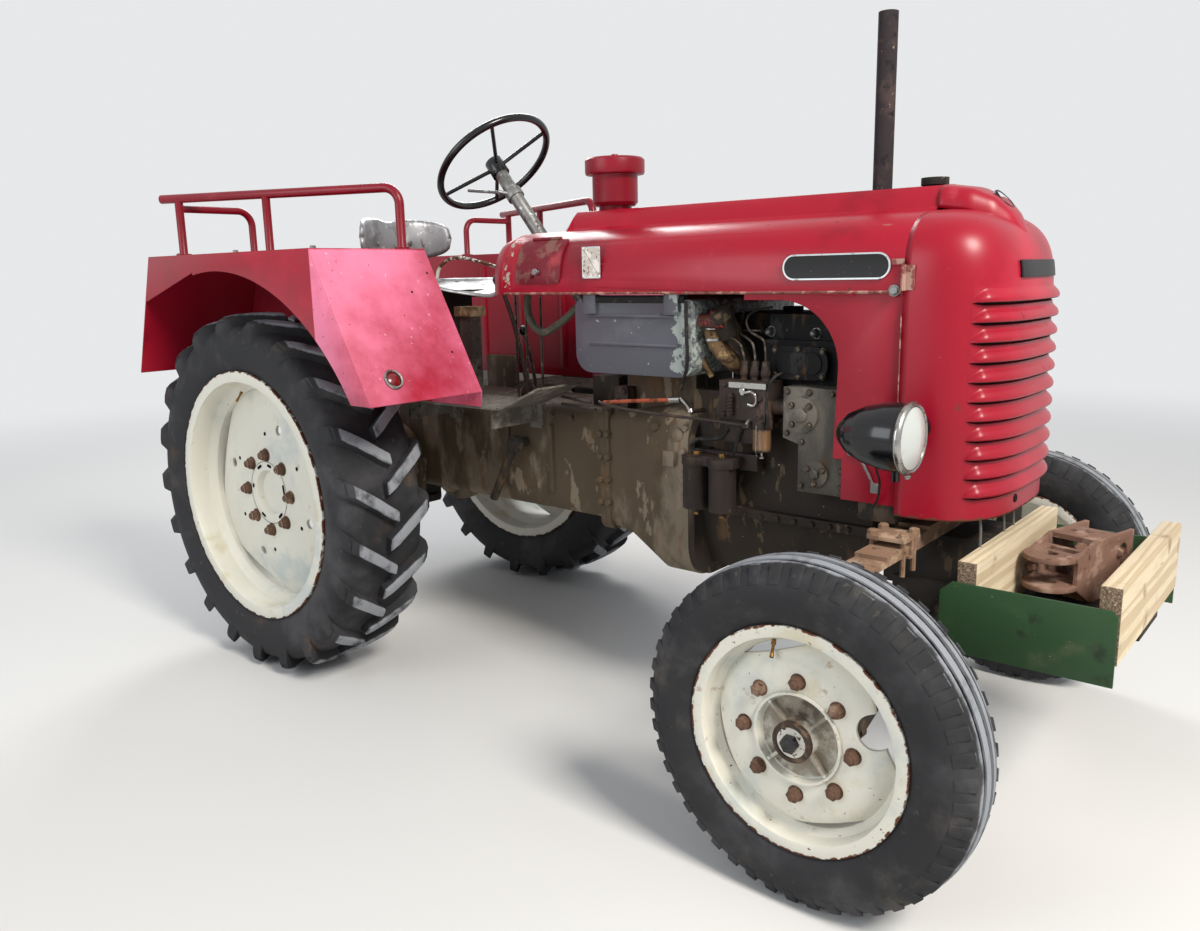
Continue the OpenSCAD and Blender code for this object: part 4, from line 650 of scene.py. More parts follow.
# Near-black painted shade for slits, holes and slots that are not cut open, and for the dark seam line on
# the rear hub.
gap_shade_and_seam_black = weathered("painted gap shade and seam", seen_as(14, 11, 11), 0.95, [
    Coat(seen_as(30, 22, 20), 0.03, 0.55, 0.10, rough=0.95),
])
nut_rust = rusted("nut rust", seen_as(98, 74, 60), seen_as(140, 116, 98))


def glass(name, tint, rough):
    """Pressed glass under a film of dirt; it hides what is behind it, as an old lamp's does."""
    film = Coat(shaded(tint, 0.6), 0.03, 0.60, 0.12, rough=0.4, strength=0.4)
    made = weathered(name, tint, rough, [film])
    shader = made.node_tree.nodes["Principled BSDF"]
    shader.inputs["Specular IOR Level"].default_value = 0.5
    shader.inputs["Coat Weight"].default_value = 0.4
    return made


lens_glass = glass("lamp glass", seen_as(186, 190, 186), 0.16)
bowl_glass = glass("bowl glass", seen_as(120, 92, 66), 0.1)
print("finishes in all:", len(bpy.data.materials))

# %% [markdown]
# Every solid of the frame takes a finish. Loose triangles are first merged and given a small
# bevel by modifiers, so that castings catch the light along their edges as real ones do.
# The bevelled faces may take a second finish: that is where the paint wears off first.

# %% Finish the frame's nodes
SMOOTH_UNDER = 32
BEVEL_OVER = 38
WELD = 0.00002


def shade_by_angle(name, degrees):
    """A node tool that shades a piece smooth and keeps only edges over this angle sharp."""
    tools = bpy.data.node_groups.new(name, "GeometryNodeTree")
    tools.interface.new_socket("Geometry", in_out="INPUT", socket_type="NodeSocketGeometry")
    tools.interface.new_socket("Geometry", in_out="OUTPUT", socket_type="NodeSocketGeometry")
    come, go = tools.nodes.new("NodeGroupInput"), tools.nodes.new("NodeGroupOutput")
    smooth = tools.nodes.new("GeometryNodeSetShadeSmooth")
    sharp = tools.nodes.new("GeometryNodeSetShadeSmooth")
    sharp.domain = "EDGE"
    sharp.inputs["Shade Smooth"].default_value = False
    angle = tools.nodes.new("GeometryNodeInputMeshEdgeAngle")
    over = tools.nodes.new("FunctionNodeCompare")
    over.operation = "GREATER_THAN"
    over.inputs[1].default_value = math.radians(degrees)
    tools.links.new(angle.outputs[0], over.inputs[0])
    tools.links.new(over.outputs[0], sharp.inputs["Selection"])
    tools.links.new(come.outputs[0], smooth.inputs["Geometry"])
    tools.links.new(smooth.outputs[0], sharp.inputs["Geometry"])
    tools.links.new(sharp.outputs[0], go.inputs[0])
    return tools


smooth_tool = shade_by_angle("shade by angle", SMOOTH_UNDER)


def dress(node, finish, bevel=1.2, edge_finish=None, segments=2):
    """Gives a frame node its finish and softens its edges; bevel is in millimetres, 0 for none."""
    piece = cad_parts[node]
    piece.data.materials.clear()
    piece.data.materials.append(finish)
    if edge_finish:
        piece.data.materials.append(edge_finish)
    weld = piece.modifiers.new("merge", "WELD")
    weld.merge_threshold = WELD
    if bevel:
        soft = piece.modifiers.new("edges", "BEVEL")
        soft.width = bevel * MM
        soft.segments = segments
        soft.limit_method = "ANGLE"
        soft.angle_limit = math.radians(BEVEL_OVER)
        soft.use_clamp_overlap = True
        soft.material = 1 if edge_finish else -1
    shade = piece.modifiers.new("shade", "NODES")
    shade.node_group = smooth_tool
    return piece


worn_red = weathered("worn red edge", seen_as(150, 24, 38), 0.5, [
    Coat(RUST, 0.020, 0.50, 0.04, rough=0.9, depth=-0.1),
    Coat(DARK_RUST, 0.012, 0.56, 0.04, rough=0.9),
], grain=0.05)
bonnet_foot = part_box("bonnet")[0].z
REAR_HOOP = (0, at(726, 0, 0).x, at(716, 0, 0).x)
flaked_hoop = Coat(seen_as(176, 166, 150), 0.030, 0.525, 0.03, rough=0.8, depth=-0.15, zone=REAR_HOOP)
edge_of_bonnet = (2, bonnet_foot + 0.012, bonnet_foot + 0.002)

# columns: finish, bevel in millimetres, finish of the worn edges, nodes
FINISHES = [
    (gear_iron, 2.5, None, ["gearbox_housing", "axle_trumpets", "clutch_housing"]),
    (engine_iron, 2.0, None, ["engine_block"]),
    (head_iron, 2.0, None, ["cylinder_head"]),
    (case_alloy, 2.0, None, ["timing_case"]),
    (pump_iron, 1.5, None, ["injection_pump", "fuel_filters"]),
    (exhaust_soot, 1.0, None, ["exhaust_pipe"]),
    (radiator_black, 1.5, None, ["radiator"]),
    (axle_iron, 2.0, None, ["front_bolster", "lower_arms", "knuckle_right", "knuckle_left", "tie_rod",
                            "pitman_arm", "drag_link", "steering_gear", "rear_drawbar", "pedals",
                            "seat_stand"]),
    (spring_rust, 1.2, None, ["leaf_spring"]),
    (jaw_rust, 2.0, None, ["towing_jaw"]),
    (wood, 2.0, None, ["planks"]),
    (green, 0.8, None, ["ballast_plates"]),
    (red_enamel("bonnet enamel", edge_of_bonnet, extra=[flaked_hoop]), 0.8, worn_red, ["bonnet"]),
    (enamel, 0.8, worn_red, ["cowl", "side_panels"]),
    (fender_red_and_painted_sunlight, 0.8, worn_red, ["fender_right", "fender_left"]),
    (hatch_red, 0.6, worn_red, ["bonnet_hatch"]),
    (rail_red, 0.5, None, ["fender_rails", "air_cleaner"]),
    (tank_grey, 1.0, None, ["fuel_tank"]),
    (lamp_black, 0.5, None, ["headlamp_bodies"]),
    (column_zinc, 0.6, None, ["steering_column"]),
    (wheel_black, 0.5, None, ["steering_wheel"]),
    (plate_steel, 0.8, None, ["footplates"]),
]
for finish, bevel, edge, nodes in FINISHES:
    for name in nodes:
        dress(name, finish, bevel, edge)
print("dressed", sum(len(row[3]) for row in FINISHES), "nodes")

# %% [markdown]
# Small parts are built away from the tractor, standing on their own Z axis, and then set in place
# with one matrix. Four helpers make the shapes that most pieces need: a turned part, a hexagon, a
# bent pipe and a sheet that is bent by a rule. The others put parts together and finish them.

# %% Shaping helpers
def settle(name, shape, finishes, body, sharp=35):
    """Makes a finished piece of a bmesh, which rides on a body of the frame."""
    bmesh.ops.recalc_face_normals(shape, faces=shape.faces)
    mesh = bpy.data.meshes.new(name)
    shape.to_mesh(mesh)
    shape.free()
    for finish in finishes if isinstance(finishes, (list, tuple)) else [finishes]:
        mesh.materials.append(finish)
    for face in mesh.polygons:
        face.use_smooth = True
    mesh.set_sharp_from_angle(angle=math.radians(sharp))
    piece = bpy.data.objects.new(name, mesh)
    bpy.context.scene.collection.objects.link(piece)
    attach(piece, body)
    return piece


def thicken(piece, thickness, offset=-1):
    """Gives a bent sheet its thickness in metres: inwards at offset -1, both ways at 0."""
    wall = piece.modifiers.new("sheet", "SOLIDIFY")
    wall.thickness = thickness
    wall.offset = offset


def facing(centre, direction, twist=0.0):
    """The matrix that stands a part's Z axis along direction, with its foot at centre."""
    turn_to = Vector(direction).to_track_quat("Z", "Y").to_matrix().to_4x4()
    return Matrix.Translation(centre) @ turn_to @ Matrix.Rotation(twist, 4, "Z")


def add(shape, part, place=Matrix.Identity(4), finish=None):
    """Adds a copy of one bmesh to another, set in place by a matrix."""
    mesh = bpy.data.meshes.new("part")
    part.to_mesh(mesh)
    mesh.transform(place)
    first = len(shape.faces)
    shape.from_mesh(mesh)
    bpy.data.meshes.remove(mesh)
    if finish is not None:
        shape.faces.ensure_lookup_table()
        for face in shape.faces[first:]:
            face.material_index = finish


def turned_part(profile, steps=40):
    """A part turned about Z from a chain of (radius, height) points in millimetres."""
    part = bmesh.new()
    chain = [part.verts.new((r * MM, 0, z * MM)) for r, z in profile]
    edges = [part.edges.new(pair) for pair in zip(chain, chain[1:])]
    bmesh.ops.spin(part, geom=chain + edges, cent=(0, 0, 0), axis=(0, 0, 1), dvec=(0, 0, 0),
                   angle=math.tau, steps=steps, use_merge=True, use_duplicate=False)
    bmesh.ops.remove_doubles(part, verts=part.verts, dist=1e-6)
    return part


def hex_part(across, height, washer=0.0, stud=0.0):
    """A hexagon head, with a washer under it and a stud's end above it where they are given."""
    part = bmesh.new()
    radius = across / math.sqrt(3)
    cone = bmesh.ops.create_cone(part, cap_ends=True, segments=6, radius1=radius * MM, radius2=radius * MM,
                                 depth=height * MM)
    bmesh.ops.translate(part, verts=cone["verts"], vec=(0, 0, height * MM / 2))
    top = [e for e in part.edges if all(v.co.z > height * MM * 0.9 for v in e.verts)]
    bmesh.ops.bevel(part, geom=top, offset=0.12 * across * MM, segments=1, profile=0.5, affect="EDGES",
                    material=-1)
    if washer:
        add(part, turned_part([(0, 0), (washer, 0), (washer, 1.6), (0, 1.6)], 20))
    if stud:
        end, thick = height + stud, across * 0.28
        tip = [(0, height - 1), (thick, height - 1), (thick, end - 1), (across * 0.2, end), (0, end)]
        add(part, turned_part(tip, 12))
    return part


def pipe_part(points, radius, closed=False, sides=2, bend=8):
    """A round pipe through points, bent in smooth curves."""
    curve = bpy.data.curves.new("pipe", "CURVE")
    curve.dimensions = "3D"
    curve.bevel_depth = radius * MM
    curve.bevel_resolution = sides
    curve.resolution_u = bend
    curve.use_fill_caps = True
    spline = curve.splines.new("BEZIER")
    spline.bezier_points.add(len(points) - 1)
    spline.use_cyclic_u = closed
    for knot, point in zip(spline.bezier_points, points):
        knot.co = point
        knot.handle_left_type = knot.handle_right_type = "AUTO"
    holder = bpy.data.objects.new("pipe", curve)
    bpy.context.scene.collection.objects.link(holder)
    mesh = bpy.data.meshes.new_from_object(holder.evaluated_get(bpy.context.evaluated_depsgraph_get()))
    part = bmesh.new()
    part.from_mesh(mesh)
    bpy.data.objects.remove(holder)
    bpy.data.curves.remove(curve)
    bpy.data.meshes.remove(mesh)
    bmesh.ops.remove_doubles(part, verts=part.verts, dist=1e-6)
    return part


def bent_sheet(across, along, rule):
    """A grid of across by along faces whose points are placed by rule(u, v), u and v from 0 to 1."""
    part = bmesh.new()
    bmesh.ops.create_grid(part, x_segments=across, y_segments=along, size=0.5)
    for point in part.verts:
        point.co = rule(point.co.x + 0.5, point.co.y + 0.5)
    return part


def spread(table, value):
    """Reads a table of (position, amount) pairs at value, with straight lines between."""
    return float(np.interp(value, [row[0] for row in table], [row[1] for row in table]))


print("a 19 mm bolt head has", len(hex_part(19, 12).faces), "faces")

# %% [markdown]
# The grille mask is the tractor's face: one deep pressing with eleven louvres across its nose.
# On the real tool the sheet is slit and each strip is pushed out into a hood, open underneath.
# A grid bent over the nose gives the sheet, and the rows of the grid are gathered at each slit,
# so that the hood's lip, its underside and the flat band between are all true surfaces. The slit
# is not cut: the underside is painted near-black, as painted shade for the opening.
# Towards the ends every row comes back to the sheet, and the hood dies out in a point.

# %% Grille mask
SHOULDER_Z = 1100
SHOULDER_H = 212
MASK_ROUND = 3
LOUVRES = 11
LOUVRE_FOOT = 722
LOUVRE_PITCH = 39.8
LOUVRE_END = 0.615
SHEET_STEPS = 112

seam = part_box("bonnet")[1].x
mask_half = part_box("bonnet")[1].y
mask_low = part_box("grille_mask")[0]
MASK_REACH = 0.1918
SEAM_GAP = 0.0003

# columns: millimetres above the slit, millimetres out of the sheet
HOOD = [
    (-6, 0), (-4.5, -2.5), (-0.4, -3.5), (0, 9.5), (1.5, 12.5), (5, 14),
    (10, 13.6), (16, 10.5), (22, 5), (27, 0.6), (29, 0),
]
# share of a louvre's half length over which it dies out, and how blunt its end is: 1 is a plain slope
HOOD_TAPER = 0.16
HOOD_EASE = 0.55


def mask_point(z, share, out=0.0):
    """A point of the nose at height z; share runs from -1 to 1 round it, out is metres off the sheet."""
    rise = max(0.0, min(1.0, (z - SHOULDER_Z * MM) / (SHOULDER_H * MM)))
    half = mask_half * (1 - rise ** 4) ** 0.25

    def spot(s):
        side = math.copysign(abs(math.sin(s * math.pi / 2)) ** (2 / MASK_ROUND), s)
        rho = ((abs(side) ** 4) * (1 - rise ** 4) + rise ** 4) ** 0.25
        reach = MASK_REACH * max(0.0, 1 - rho ** MASK_ROUND) ** (1 / MASK_ROUND)
        return Vector((seam + SEAM_GAP + reach, half * side, z))

    place = spot(share)
    if out:
        along = spot(min(1, share + 0.01)) - spot(max(-1, share - 0.01))
        place += Vector((along.y, -along.x, 0)).normalized() * out
    return place


def hood_fade(share):
    """1 along the middle of a louvre, 0 from its pointed ends on."""
    left = 1 - abs(share) / LOUVRE_END
    return max(0.0, min(1.0, left / HOOD_TAPER)) ** HOOD_EASE if left > 0 else 0.0


def mask_rows():
    """Rows of the sheet from its foot up: (slit height, height above it, how far out, painted-shade
    underside or not).
    """
    foot = mask_low.z / MM
    rows = [(foot, 0, 0, False), (foot + 4, 0, 0, False), (foot + 20, 0, 0, False)]
    for k in range(LOUVRES):
        slit = LOUVRE_FOOT + k * LOUVRE_PITCH
        rows += [(slit, rise, out, -5 < rise <= 0) for rise, out in HOOD]
    top = SHOULDER_Z + SHOULDER_H
    last = LOUVRE_FOOT + (LOUVRES - 1) * LOUVRE_PITCH + 40
    steps = 26
    for k in range(steps + 1):
        climb = math.sin(k / steps * math.pi / 2)
        rows.append((last + (top - last) * climb, 0, 0, False))
    return rows


def make_mask():
    rows = mask_rows()

    def rule(u, v):
        slit, rise, out, _ = rows[round(v * (len(rows) - 1))]
        share = 2 * u - 1
        fade = hood_fade(share)
        return mask_point((slit + rise * fade) * MM, share, out * fade * MM)

    sheet = bent_sheet(SHEET_STEPS, len(rows) - 1, rule)
    per_row = SHEET_STEPS
    sheet.faces.ensure_lookup_table()
    for index, face in enumerate(sheet.faces):
        row, column = divmod(index, per_row)
        middle_share = abs(2 * (column + 0.5) / per_row - 1)
        # These underside faces take the near-black finish as painted shade for the open slit, which the
        # sheet does not have.
        if rows[row][3] and rows[row + 1][1] <= 1.5 and middle_share < LOUVRE_END * 0.985:
            face.material_index = 1
    bmesh.ops.remove_doubles(sheet, verts=sheet.verts, dist=2e-5)
    bmesh.ops.dissolve_degenerate(sheet, edges=sheet.edges, dist=1e-6)
    return sheet


edge_of_mask = (2, mask_low.z + 0.014, mask_low.z + 0.001)
mask_enamel = red_enamel("mask enamel", edge_of_mask)
mask = settle("grille_mask_pressing", make_mask(), [mask_enamel, gap_shade_and_seam_black], "frame", sharp=50)
thicken(mask, 0.0025)
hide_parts("grille_mask")
print("the mask has", len(mask.data.polygons), "faces")

# %% [markdown]
# The ridge of the bonnet runs on over the mask and fades to a point above the badge.
# It is one bent sheet whose width and height follow a short table.

# %% Nose of the ridge
# columns: metres ahead of the seam, half width, top height in millimetres
NOSE = [
    (0.0003, 88, 1366), (0.060, 80, 1356), (0.104, 62, 1334), (0.134, 42, 1302),
    (0.156, 24, 1262), (0.172, 9, 1222), (0.180, 2, 1196),
]


def nose_rule(u, v):
    reach = NOSE[0][0] + (NOSE[-1][0] - NOSE[0][0]) * math.sin(v * math.pi / 2) ** 0.9
    half = spread([(row[0], row[1]) for row in NOSE], reach)
    top = spread([(row[0], row[2]) for row in NOSE], reach)
    side = 2 * u - 1
    if abs(side) <= 0.5:
        y, drop = side / 0.5 * 0.72 * half, 4 * (side / 0.5) ** 2
    else:
        past = (abs(side) - 0.5) / 0.5
        y = math.copysign(half * (0.72 + 0.34 * math.sin(past * math.pi / 2)), side)
        drop = 4 + 46 * (1 - math.cos(past * math.pi / 2))
    return Vector((seam + reach, y * MM, (top - drop) * MM))


nose = settle("ridge_nose", bent_sheet(28, 40, nose_rule), mask_enamel, "frame", sharp=60)
thicken(nose, 0.003)

# %% [markdown]
# A tractor tyre is a smooth carcass with separate bars vulcanised on. The carcass is turned.
# A bar starts as a cube, cut into short lengths and rounded along its top, and is then bent:
# one table says where its foot and its top run across the tread, another how it slants.
# The same bar is set round the wheel as often as the frame's tyre has bars.

# %% Rear tyres
# columns: millimetres ahead of the rear axle, to the side, and above the floor
WHEEL_PLACE = {"rear": (0, 572, 550), "front": (1860, 656, 340)}


def wheel_centre(kind, side):
    """The middle of a wheel; kind is front or rear, side is 1 on the left and -1 on the right."""
    x, y, z = WHEEL_PLACE[kind]
    return at(x, side * y, z)


BAR_COUNT = 21
REAR_CARCASS = [
    (357, 117), (384, 118), (388, 122), (402, 128), (424, 134.5), (448, 137), (470, 136), (492, 130),
    (508, 118), (516, 100), (519, 70), (520, 35), (520, 0),
]
# columns: share along the bar, distance from the tread's middle, radius of its foot and of its top,
# slant, half width
BAR = [
    (0.00, -12, 516, 549, 50, 15), (0.20, 14, 516, 550, 34, 17), (0.42, 50, 515, 550, 6, 17),
    (0.62, 90, 511, 548, -22, 18), (0.78, 118, 500, 543, -42, 19), (0.86, 129, 486, 534, -50, 20),
    (0.93, 133, 466, 516, -55, 21), (1.00, 132, 446, 470, -58, 22),
]


def bar_part():
    """One tread bar on the wheel's axle, at the top of the wheel, with the wheel's axis along Y."""
    part = bmesh.new()
    bmesh.ops.create_cube(part, size=1.0)
    long_edges = [e for e in part.edges if abs(e.verts[0].co.x - e.verts[1].co.x) > 0.5]
    bmesh.ops.subdivide_edges(part, edges=long_edges, cuts=13, use_grid_fill=True)
    crest = [e for e in part.edges if all(v.co.z > 0.49 for v in e.verts) and (
        all(abs(v.co.y) > 0.49 for v in e.verts) or all(abs(v.co.x) > 0.49 for v in e.verts))]
    bmesh.ops.bevel(part, geom=crest, offset=0.10, segments=2, profile=0.5, affect="EDGES", material=-1)
    for point in part.verts:
        u, v, w = point.co.x + 0.5, 2 * point.co.y, point.co.z + 0.5
        y, foot, top, slant, half = (spread([(row[0], row[k]) for row in BAR], u) for k in range(1, 6))
        lean_out = spread([(0.0, 0), (0.80, 0), (0.93, 6), (1.0, 4)], u)
        radius = foot + (top - foot) * w
        turn = (slant + v * half * (1.35 - 0.35 * w)) / radius
        point.co = Vector((radius * math.sin(turn), y + lean_out * w, radius * math.cos(turn))) * MM
    return part


def rear_tyre_shape(side):
    """The whole tyre in place; side is 1 on the left and -1 on the right."""
    hub = wheel_centre("rear", side)
    shape = bmesh.new()
    chain = [(r, y) for r, y in REAR_CARCASS] + [(r, -y) for r, y in REAR_CARCASS[-2::-1]]
    carcass = turned_part(chain, 120)
    lie = Matrix.Translation(hub) @ Matrix.Rotation(math.radians(90), 4, "X")
    add(shape, carcass, lie)
    bar = bar_part()
    step = math.tau / BAR_COUNT
    for half in (1, -1):
        for k in range(BAR_COUNT):
            spin = Matrix.Rotation((k + (0.5 if half > 0 else 0)) * step, 4, "Y")
            add(shape, bar, Matrix.Translation(hub) @ spin @ Matrix.Diagonal((1, half, 1, 1)))
    return shape


SOIL = seen_as(120, 92, 66)
REAR_FLANGE = 0.381
for side, word in ((1, "left"), (-1, "right")):
    hub = wheel_centre("rear", side)
    tyre_rubber = rubber("rear rubber " + word, hub, hub.z, SOIL)
    tyre = settle("rear_tyre_moulding_" + word, rear_tyre_shape(side), tyre_rubber,
                  "rear_wheel_" + word, sharp=48)
    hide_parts("rear_tyre_" + word)
    dress("rear_rim_" + word, cream_paint("rear rim paint " + word, hub, REAR_FLANGE, 0.15), 0.8)
    print("rear tyre", word, "has", len(tyre.data.polygons), "faces")

# %% [markdown]
# The front tyres are ribbed for steering: three ribs round the tread, cut into long stones by
# sipes, and a row of square blocks that wraps each shoulder. The ribs are turned with the
# carcass and the blocks are bent cubes, as on the rear.

# %% Front tyres
BLOCK_COUNT = 46
FRONT_CARCASS = [
    (205, 55), (224, 56), (228, 60), (238, 65), (254, 70), (274, 73), (292, 72), (306, 67), (316, 60),
    (324, 52), (329, 46), (334, 40), (336, 31), (327, 30), (327, 23), (338, 22), (340, 7),
    (331, 6), (331, 0),
]


def block_part():
    part = bmesh.new()
    bmesh.ops.create_cube(part, size=1.0)
    crest = [e for e in part.edges if all(v.co.z > 0.49 for v in e.verts)]
    bmesh.ops.bevel(part, geom=crest, offset=0.12, segments=2, profile=0.5, affect="EDGES", material=-1)
    # columns: share along the block, distance from the middle, radius, both on the carcass
    run = [(0.0, 46, 331), (0.3, 54, 324), (0.6, 63, 314), (1.0, 69, 300)]
    for point in part.verts:
        u, v, w = point.co.x + 0.5, 2 * point.co.y, point.co.z + 0.5
        y = spread([(r[0], r[1]) for r in run], u)
        radius = spread([(r[0], r[2]) for r in run], u)
        proud = -4 + (10 - 4 * u) * w
        turn = v * (13.5 - 2.0 * w) / radius
        out = Vector((0.62, 0.78))
        spot = Vector((y + out.x * proud, radius + out.y * proud))
        point.co = Vector((spot.y * math.sin(turn), spot.x, spot.y * math.cos(turn))) * MM
    return part


def front_tyre_shape(side):
    hub = wheel_centre("front", side)
    shape = bmesh.new()
    chain = [(r, y) for r, y in FRONT_CARCASS] + [(r, -y) for r, y in FRONT_CARCASS[-2::-1]]
    add(shape, turned_part(chain, 120), Matrix.Translation(hub) @ Matrix.Rotation(math.radians(90), 4, "X"))
    block = block_part()
    for half in (1, -1):
        for k in range(BLOCK_COUNT):
            spin = Matrix.Rotation((k + (0.5 if half > 0 else 0)) * math.tau / BLOCK_COUNT, 4, "Y")
            add(shape, block, Matrix.Translation(hub) @ spin @ Matrix.Diagonal((1, half, 1, 1)))
    return shape


DUST = seen_as(112, 104, 94)
FRONT_FLANGE = 0.222
for side, word in ((1, "left"), (-1, "right")):
    hub = wheel_centre("front", side)
    tyre_rubber = rubber("front rubber " + word, hub, hub.z, DUST)
    tyre = settle("front_tyre_moulding_" + word, front_tyre_shape(side), tyre_rubber,
                  "front_wheel_" + word, sharp=40)
    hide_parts("front_tyre_" + word)
    dress("front_rim_" + word, cream_paint("front rim paint " + word, hub, FRONT_FLANGE, 0.7), 0.8)
    dress("front_hub_" + word, cream_paint("front hub paint " + word, hub, 0.30, 1.0, pan=0.084), 0.8)
    print("front tyre", word, "has", len(tyre.data.polygons), "faces")

# %% [markdown]
# Wheel nuts rust before the wheel does. Each is a domed hexagon over the frame's own nut, turned
# as that one is and a hair larger, so that it covers the painted one underneath. On the rear
# wheels a thick neck stands out of the nut.

# %% Wheel nuts
NUT_COVER = 0.6
NUT_RISE = 3.4


def lying(place, side, degrees):
    """Sets a nut on a wheel's face, with one corner turned by degrees about the axle, as in the frame."""
    turn = math.radians(degrees)
    corner, out = Vector((math.cos(turn), 0, -math.sin(turn))), Vector((0, side, 0))
    return Matrix.Translation(place) @ Matrix((corner.cross(out), corner, out)).transposed().to_4x4()


NUT_COUNT = 8
# columns: radius of the circle, distance from the wheel's middle plane, size across flats, height
NUTS = {"front": (112, 41, 22.5, 15), "rear": (118, 55, 29.4, 14)}
NUT_ENDS = {
    "front": [(8.5, 16), (8, 20), (5, 22.5), (0, 23)],
    "rear": [(11.6, 15), (11.6, 22), (9, 25), (0, 26)],
}


def wheel_nuts(kind, word, side):
    """The ring of nuts on one wheel; kind is front or rear."""
    circle, face, across, height = NUTS[kind]
    nut = hex_part(across + 2 * NUT_COVER, height + NUT_RISE, washer=across * 0.72)
    add(nut, turned_part(NUT_ENDS[kind], 24))
    shape = bmesh.new()
    for k in range(NUT_COUNT):
        turn = k * math.tau / NUT_COUNT
        spot = Vector((circle * math.sin(turn), side * face, circle * math.cos(turn))) * MM
        add(shape, nut, lying(wheel_centre(kind, side) + spot, side, math.degrees(turn)))
    return settle(f"{kind}_nuts_{word}", shape, nut_rust, f"{kind}_wheel_{word}", sharp=30)


for side, word in ((1, "left"), (-1, "right")):
    wheel_nuts("front", word, side)
    wheel_nuts("rear", word, side)
print("each wheel has", NUT_COUNT, "nuts")

# %% [markdown]
# A headlamp is three things to the eye: a black bullet, a bright bezel, and a white lens whose
# ribs spread the beam sideways. The ribs are real: the turned lens is pushed in and out by a
# wave across its width.

# %% Headlamps
LAMP_X = 1925
LAMP_Y = 400
LAMP_Z = 868
LAMP_R = 72


def lens_part():
    rings = [(61 * (1 - k / 12), 12 + 13 * (1 - (1 - k / 12) ** 2)) for k in range(13)]
    part = turned_part([(61, -8)] + rings, 120)
    for point in part.verts:
        rise = point.co.z / MM
        if rise > 0:
            point.co.z += 0.9 * MM * abs(math.sin(point.co.x / MM * math.pi / 8.0)) - 0.4 * MM
    return part


bezel = turned_part([(61, -2), (70, 0), (73, 3), (73.5, 7), (71, 12), (66, 15), (62.5, 14), (61.5, 10)], 72)
lens_shape, bezel_shape = bmesh.new(), bmesh.new()
for side in (1, -1):
    place = facing(at(LAMP_X, side * LAMP_Y, LAMP_Z), (1, 0, 0))
    add(lens_shape, lens_part(), place)
    add(bezel_shape, bezel, place)
    under = at(LAMP_X + 4, side * LAMP_Y, LAMP_Z - LAMP_R - 1)
    add(bezel_shape, hex_part(10, 8, washer=7), facing(under, (0, 0, -1)))
lenses = settle("lamp_lenses", lens_shape, lens_glass, "frame", sharp=60)
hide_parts("headlamp_lenses")
settle("lamp_bezels", bezel_shape, chrome, "frame", sharp=40)

# %% [markdown]
# The seat is a pressed steel dish on a bent support, with a separate back shell. Both are zinc
# grey and dented. The pan is drawn as rings that run from its middle out over a rolled rim.

# %% Seat
SEAT_X = 120
SEAT_Z = 1150
PAN_BEND = 96
PAN_DROOP = 0.42


def pan_rule(u, v):
    turn, reach = u * math.tau, v
    c, s = math.cos(turn), math.sin(turn)
    long_side = 150 if c < 0 else 178
    point_end = 1 - 0.10 * abs(s) * max(0, c)
    x = 60 + long_side * reach * c * point_end
    y = 186 * reach * s * (1 - 0.16 * max(0, c) ** 2)
    rim = max(0.0, (reach - 0.88) / 0.12)
    z = 4 + 34 * reach ** 2.6 + 6 * math.sin(rim * math.pi) - 9 * rim ** 2
    z += 5 * reach * math.exp(-((c - 0.95) / 0.2) ** 2)
    z -= PAN_DROOP * max(0.0, x - PAN_BEND)
    return at(SEAT_X + x, y, SEAT_Z + z)


pan = bent_sheet(64, 22, pan_rule)
bmesh.ops.remove_doubles(pan, verts=pan.verts, dist=1e-5)
pan_piece = settle("seat_dish", pan, seat_zinc, "frame", sharp=70)
thicken(pan_piece, 0.0022, 0)


def groove_shade_rule(u, v):
    """A dark ribbon of painted shade along the pan's groove, round its front half, a millimetre over it."""
    return pan_rule((0.62 * (u - 0.5)) % 1.0, 0.60 + 0.10 * v) + Vector((0, 0, MM))


def back_rule(u, v):
    across, rise = 2 * u - 1, 2 * v - 1
    half_turn = math.radians(58)
    edge = (1 - abs(across) ** 3.2) ** (1 / 3.2) if abs(across) < 1 else 0.0
    waist = 1 - 0.16 * math.exp(-(across / 0.16) ** 2)
    z = 176 + 70 * rise * edge * waist
    roll = 10 * max(0.0, (abs(rise) - 0.8) / 0.2) ** 2 + 8 * max(0.0, (abs(across) - 0.9) / 0.1) ** 2
    dent = 7 * math.exp(-(((across + 0.45) / 0.12) ** 2 + ((rise - 0.1) / 0.4) ** 2))
    dent += 5 * math.exp(-(((across - 0.3) / 0.10) ** 2 + ((rise + 0.2) / 0.35) ** 2))
    radius = 214 + roll - dent + 5 * rise ** 2
    turn = across * half_turn
    return at(SEAT_X - 30 - radius * math.cos(turn), radius * math.sin(turn), SEAT_Z + z)


back_piece = settle("seat_back", bent_sheet(64, 20, back_rule), seat_zinc, "frame", sharp=70)
thicken(back_piece, 0.0025, 0)
# The pan's groove is shown as this dark ribbon of painted shade.
settle("seat_groove_shade", bent_sheet(48, 2, groove_shade_rule), hose_rubber_and_painted_shade, "frame", sharp=60)
straps = bmesh.new()
for side in (1, -1):
    strap = [at(SEAT_X - 100, side * 70, SEAT_Z + 14), at(SEAT_X - 200, side * 70, SEAT_Z + 18),
             at(SEAT_X - 234, side * 70, SEAT_Z + 60), at(SEAT_X - 236, side * 70, SEAT_Z + 170)]
    add(straps, pipe_part(strap, 8))
    add(straps, hex_part(13, 7, washer=9), facing(at(SEAT_X - 228, side * 70, SEAT_Z + 160), (1, 0, 0.2)))
seat_straps = settle("seat_straps", straps, column_zinc, "frame")
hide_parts("seat_pan")
print("seat pieces:", pan_piece.name, back_piece.name, seat_straps.name)

